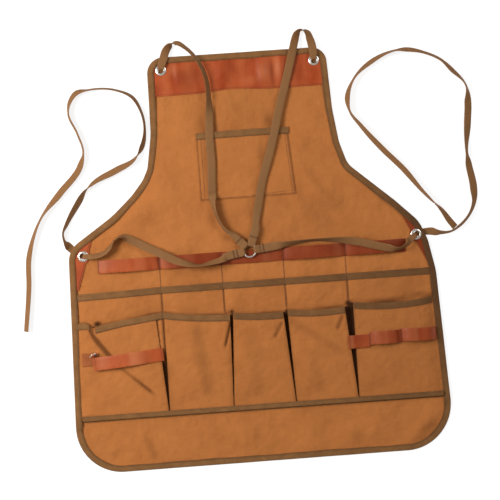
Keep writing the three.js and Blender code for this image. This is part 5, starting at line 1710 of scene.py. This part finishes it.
inner_edge = outline + (inset(outline, 1.0) - outline) * (binding_widths() - BINDING_SEAM)[:, None]
inner_edge = np.concatenate([inner_edge, inner_edge[:1]])
seam(olive_seams, *inner_edge.T, binding_top(inner_edge[:, 1]) + drape(*inner_edge.T))
chest_x = np.linspace(SEAM_END - CHEST_HALF_WIDTH, chest_right(CHEST_MOUTH) - SEAM_END, 60)
for x, mouth, low in ((chest_x, CHEST_MOUTH, chest_low), (inside, slot_mouth, slot_low)):
    for depth in (TAPE_SEAM, BAND_WIDTH - TAPE_SEAM):
        seam(olive_seams, x, mouth - depth, low(x, mouth - depth) + CANVAS + GAP + TAPE)
for number, tape in enumerate(pocket_tapes):
    ends = [corner[0] / MM for corner in (tape.bound_box[0], tape.bound_box[6])]
    x = np.linspace(ends[0] + POCKET_SEAM_END, ends[1] - POCKET_SEAM_END, 30)
    y = mouth_at(number, x) - OUTER_LEG + TAPE_SEAM
    seam(olive_seams, x, y, front_height(number, x, y) + CANVAS / 2 + GAP + TAPE)
x = np.linspace(BAND_ENDS[0] + SEAM_END, BAND_ENDS[1] - SEAM_END, 90)
seam(olive_seams, x, BAND_TOP - TAPE_SEAM, band_high + BAND_CROWN + TAPE / 2)
print("olive seams:", len(olive_seams))

# %% Seams on canvas
# distances of the chest pocket's seams from its left and right edges, and of its foot seams at both ends
CHEST_SIDE_SEAMS = [(2.0, 2.0), (8.5, 5.5)]
CHEST_FOOT_SEAMS = [(2.0 - CHEST_HALF_WIDTH, 2.0, 2.0), (10.0, 3.4, 7.5)]
# where the slot seams end, half the distance of a twin seam, and its share above the mouth
SLOT_SEAM_FOOT, TWIN_SEAM, TWIN_CLOSER = -94.0, 0.9, 0.6

for left_edge, right_edge in CHEST_SIDE_SEAMS:
    y = np.linspace(CHEST_FOOT + 2, CHEST_MOUTH - BAND_WIDTH - 1, 40)
    for x in (left_edge - CHEST_HALF_WIDTH, chest_right(y) - right_edge):
        seam(brown_seams, x, y, chest_low(x, y) + CANVAS)
for start, first, last in CHEST_FOOT_SEAMS:
    x = np.linspace(start, chest_right(CHEST_FOOT) - 4, 60)
    y = CHEST_FOOT + np.linspace(first, last, 60)
    seam(brown_seams, x, y, chest_low(x, y) + CANVAS)
for line_x in SLOT_SEAMS[1:-1]:
    for shift in (-TWIN_SEAM, TWIN_SEAM):
        x, y = line_x + shift, np.linspace(SLOT_SEAM_FOOT, SLOT_MOUTH - BAND_WIDTH - 1, 20)
        seam(brown_seams, x, y, slot_low(x, y) + CANVAS)
        x = line_x + shift * TWIN_CLOSER
        y = np.linspace(SLOT_MOUTH + 3, WAIST_STRIP_MIDDLE - LEATHER_STRIP / 2 - 1, 12)
        seam(brown_seams, x, y, drape(x, y) + CANVAS_TOP)
    y = np.linspace(SLOT_MOUTH - BAND_WIDTH, SLOT_MOUTH, 8)
    seam(brown_seams, line_x, y, slot_low(line_x, y) + CANVAS + GAP + TAPE)
print("brown seams:", len(brown_seams))

# %% Seams on leather
BIB_SEAM, PATCH_SEAM, PATCH_SEAM_TOP = 2.4, 2.6, 46.0
# how far the first and last seam of the waist strip are set in, and how high a seam bulges there
END_INSET, LAND_BULGE = 2.6, 0.3
ACROSS_STRIP = np.linspace(-10, 10, 12)
TOOL_SEAMS, TOWEL_SEAMS = (169.5, 205.0, 263.5, 327.0), (-62.0, 61.0)

ends = edges_at(inset(outline, BINDING_WIDTH + 1), BIB_FOOT + BIB_SEAM)
x = np.linspace(*ends, 110)
y = BIB_FOOT + BIB_SEAM + bib_rise(x)
seam(brown_seams, x, y, drape(x, y) + TRIM_TOP)
for side in (-1, 1):
    y = np.linspace(PATCH_FOOT + 2, PATCH_SEAM_TOP, 40)
    x = side * (patch_edge(side, y) + PATCH_SEAM)
    seam(brown_seams, x, y, drape(x, y) + TRIM_TOP)
first, *middle = [start for start, _, _ in WAIST_LOOPS]
for x in (first + END_INSET, *middle, WAIST_LOOPS[-1][1] - END_INSET):
    seam(brown_seams, x, WAIST_STRIP_MIDDLE + ACROSS_STRIP, TRIM_TOP + LAND_BULGE)
for line, placed, lands in ((tool_line, on_tools, TOOL_SEAMS), (towel_line, on_towel, TOWEL_SEAMS)):
    for land in lands:
        top = np.interp(land, line[:, 0], line[:, 1]) + LEATHER / 2
        brown_seams.append(placed(land, ACROSS_STRIP, top + STITCH_RISE))
print("brown seams:", len(brown_seams))

# %% Bar tacks on the ring loops
# distances of the rows of stitches from the ring's wire
TACKS = {
    "shoulder_left": (14.6, 15.6, 16.6), "shoulder_right": (13.4, 14.4, 15.4),
    "waist_left": (10.2, 11.2, 12.2, 17.0, 18.0, 19.0), "waist_right": (7.0, 8.0, 9.0, 13.4, 14.4, 15.4),
}
TACK_HALF, TACK_RISE = 0.44, 0.1

tack_top = RING["z"] + LOOP_SPREAD + WEB / 2 + TACK_RISE
for name, rows in TACKS.items():
    turn = math.radians(RING_SIDES[name])
    for out in rows:
        reach = RING["radius"] + out
        half = TACK_HALF * min(STRAP_WIDTH, LOOP_SPAN * reach)
        across = np.linspace(-half, half, 6)
        x = RING["x"] + reach * math.cos(turn) - across * math.sin(turn)
        y = RING["y"] + reach * math.sin(turn) + across * math.cos(turn)
        brown_seams.append(stacked(x, y, tack_top))
print("seams in all:", len(olive_seams) + len(brown_seams))

# %% Stitches
STITCH_SHARE = 0.8
# pitch, thickness
OLIVE_STITCH, BROWN_STITCH = (0.0034, 0.0007), (0.0032, 0.0009)


def sewn(name, seams, thread, pitch, thickness, slot):
    curve = bpy.data.curves.new(name, "CURVE")
    curve.dimensions = "3D"
    for points in seams:
        spline = curve.splines.new("POLY")
        spline.points.add(len(points) - 1)
        flat = np.concatenate([points * MM, np.ones((len(points), 1))], axis=1)
        spline.points.foreach_set("co", flat.reshape(-1))
    draft = bpy.data.objects.new(name + "_draft", curve)
    bpy.context.scene.collection.objects.link(draft)
    modifier = draft.modifiers.new("stitches", "NODES")
    modifier.node_group = STITCH_TREE
    inputs = {"Pitch": pitch, "Length": pitch * STITCH_SHARE, "Thickness": thickness, "Thread": thread}
    for item in STITCH_TREE.interface.items_tree:
        if item.name in inputs:
            modifier[item.identifier] = inputs[item.name]
    view = bpy.context.evaluated_depsgraph_get()
    mesh = bpy.data.meshes.new_from_object(draft.evaluated_get(view), depsgraph=view)
    mesh.name = name
    bpy.data.objects.remove(draft)
    mesh.shade_smooth()
    obj = bpy.data.objects.new(name, mesh)
    bpy.context.scene.collection.objects.link(obj)
    dress(obj)


sewn("olive_stitches", olive_seams, OLIVE_THREAD, *OLIVE_STITCH, "tape")
sewn("brown_stitches", brown_seams, BROWN_THREAD, *BROWN_STITCH, "canvas")

# %% [markdown]
# ## What the cloth was cut from
#
# Each sheet's flat size, the size it was cut to, is printed.

def flat_sheet(obj, size, area=None):
    flat = tuple(side * MM for side in size)
    print("sheet:", obj.name, [round(side) for side in size], "mm")


def strip_size(line):
    return float(run(line[None])[0, -1]), LEATHER_STRIP


flat_sheet(apron_body, (698, 760), flat_area)
flat_sheet(bib_panel, (333, 71))
for obj, size, cut in patches:
    flat_sheet(obj, size, area=cut * MM ** 2)
flat_sheet(chest_pocket, (176, 125))
flat_sheet(slot_pocket_panel, (684, 236))
for (obj, width), tape in zip(lower_pockets, pocket_tapes):
    flat_sheet(obj, (width, 178))
flat_sheet(waist_loop_strip, strip_size(waist_line))
flat_sheet(tool_loop_strip, strip_size(tool_line))
flat_sheet(towel_strap, strip_size(towel_line))
flat_sheet(towel_strap_tab, (30, LEATHER_STRIP))

# %% [markdown]
# ## Table and light
#
# The photograph was lit softly on a white table: mostly from the left, with a weaker lamp on the right, so
# the straps have soft shadows on both sides. The left lamp is near, which makes the brightness fall to the
# right. The table glows, as a lit backdrop does, so that it stays white.

# %% Table
TABLE_HALF, TABLE_GLOW = 12.0, 0.78
TABLE_GREY, WHITE = (0.34, 0.34, 0.34, 1.0), (1.0, 1.0, 1.0, 1.0)

glow = {"Emission_Color": WHITE, "Emission_Strength": TABLE_GLOW}
pale_table = Finish("pale table").done(Base_Color=TABLE_GREY, Roughness=0.9, **glow)
floor = bpy.data.meshes.new("floor")
corners = [(-TABLE_HALF, -TABLE_HALF, 0), (TABLE_HALF, -TABLE_HALF, 0), (TABLE_HALF, TABLE_HALF, 0),
           (-TABLE_HALF, TABLE_HALF, 0)]
floor.from_pydata(corners, [], [(0, 1, 2, 3)])
put("floor", floor, pale_table)

# %% Light
SKY_STRENGTH = 0.34


def lamp(name, place, size, power):
    """A round lamp that points at the middle of the table."""
    light = bpy.data.lights.new(name, "AREA")
    light.shape = "DISK"
    light.size = size
    light.energy = power
    obj = bpy.data.objects.new(name, light)
    obj.location = place
    x, y, z = place
    obj.rotation_euler = (math.atan2(math.hypot(x, y), z), 0.0, math.atan2(-y, -x) - math.pi / 2)
    bpy.context.scene.collection.objects.link(obj)


lamp("window", (-1.35, 0.35, 1.35), 0.9, 34.0)
lamp("room", (1.6, 1.1, 1.7), 1.0, 14.0)
sky = bpy.data.worlds.new("sky")
bpy.context.scene.world = sky
sky.use_nodes = True
background = sky.node_tree.nodes["Background"]
background.inputs["Color"].default_value = WHITE
background.inputs["Strength"].default_value = SKY_STRENGTH
bpy.context.scene.view_settings.view_transform = "Standard"
print("light: two lamps and a pale sky")
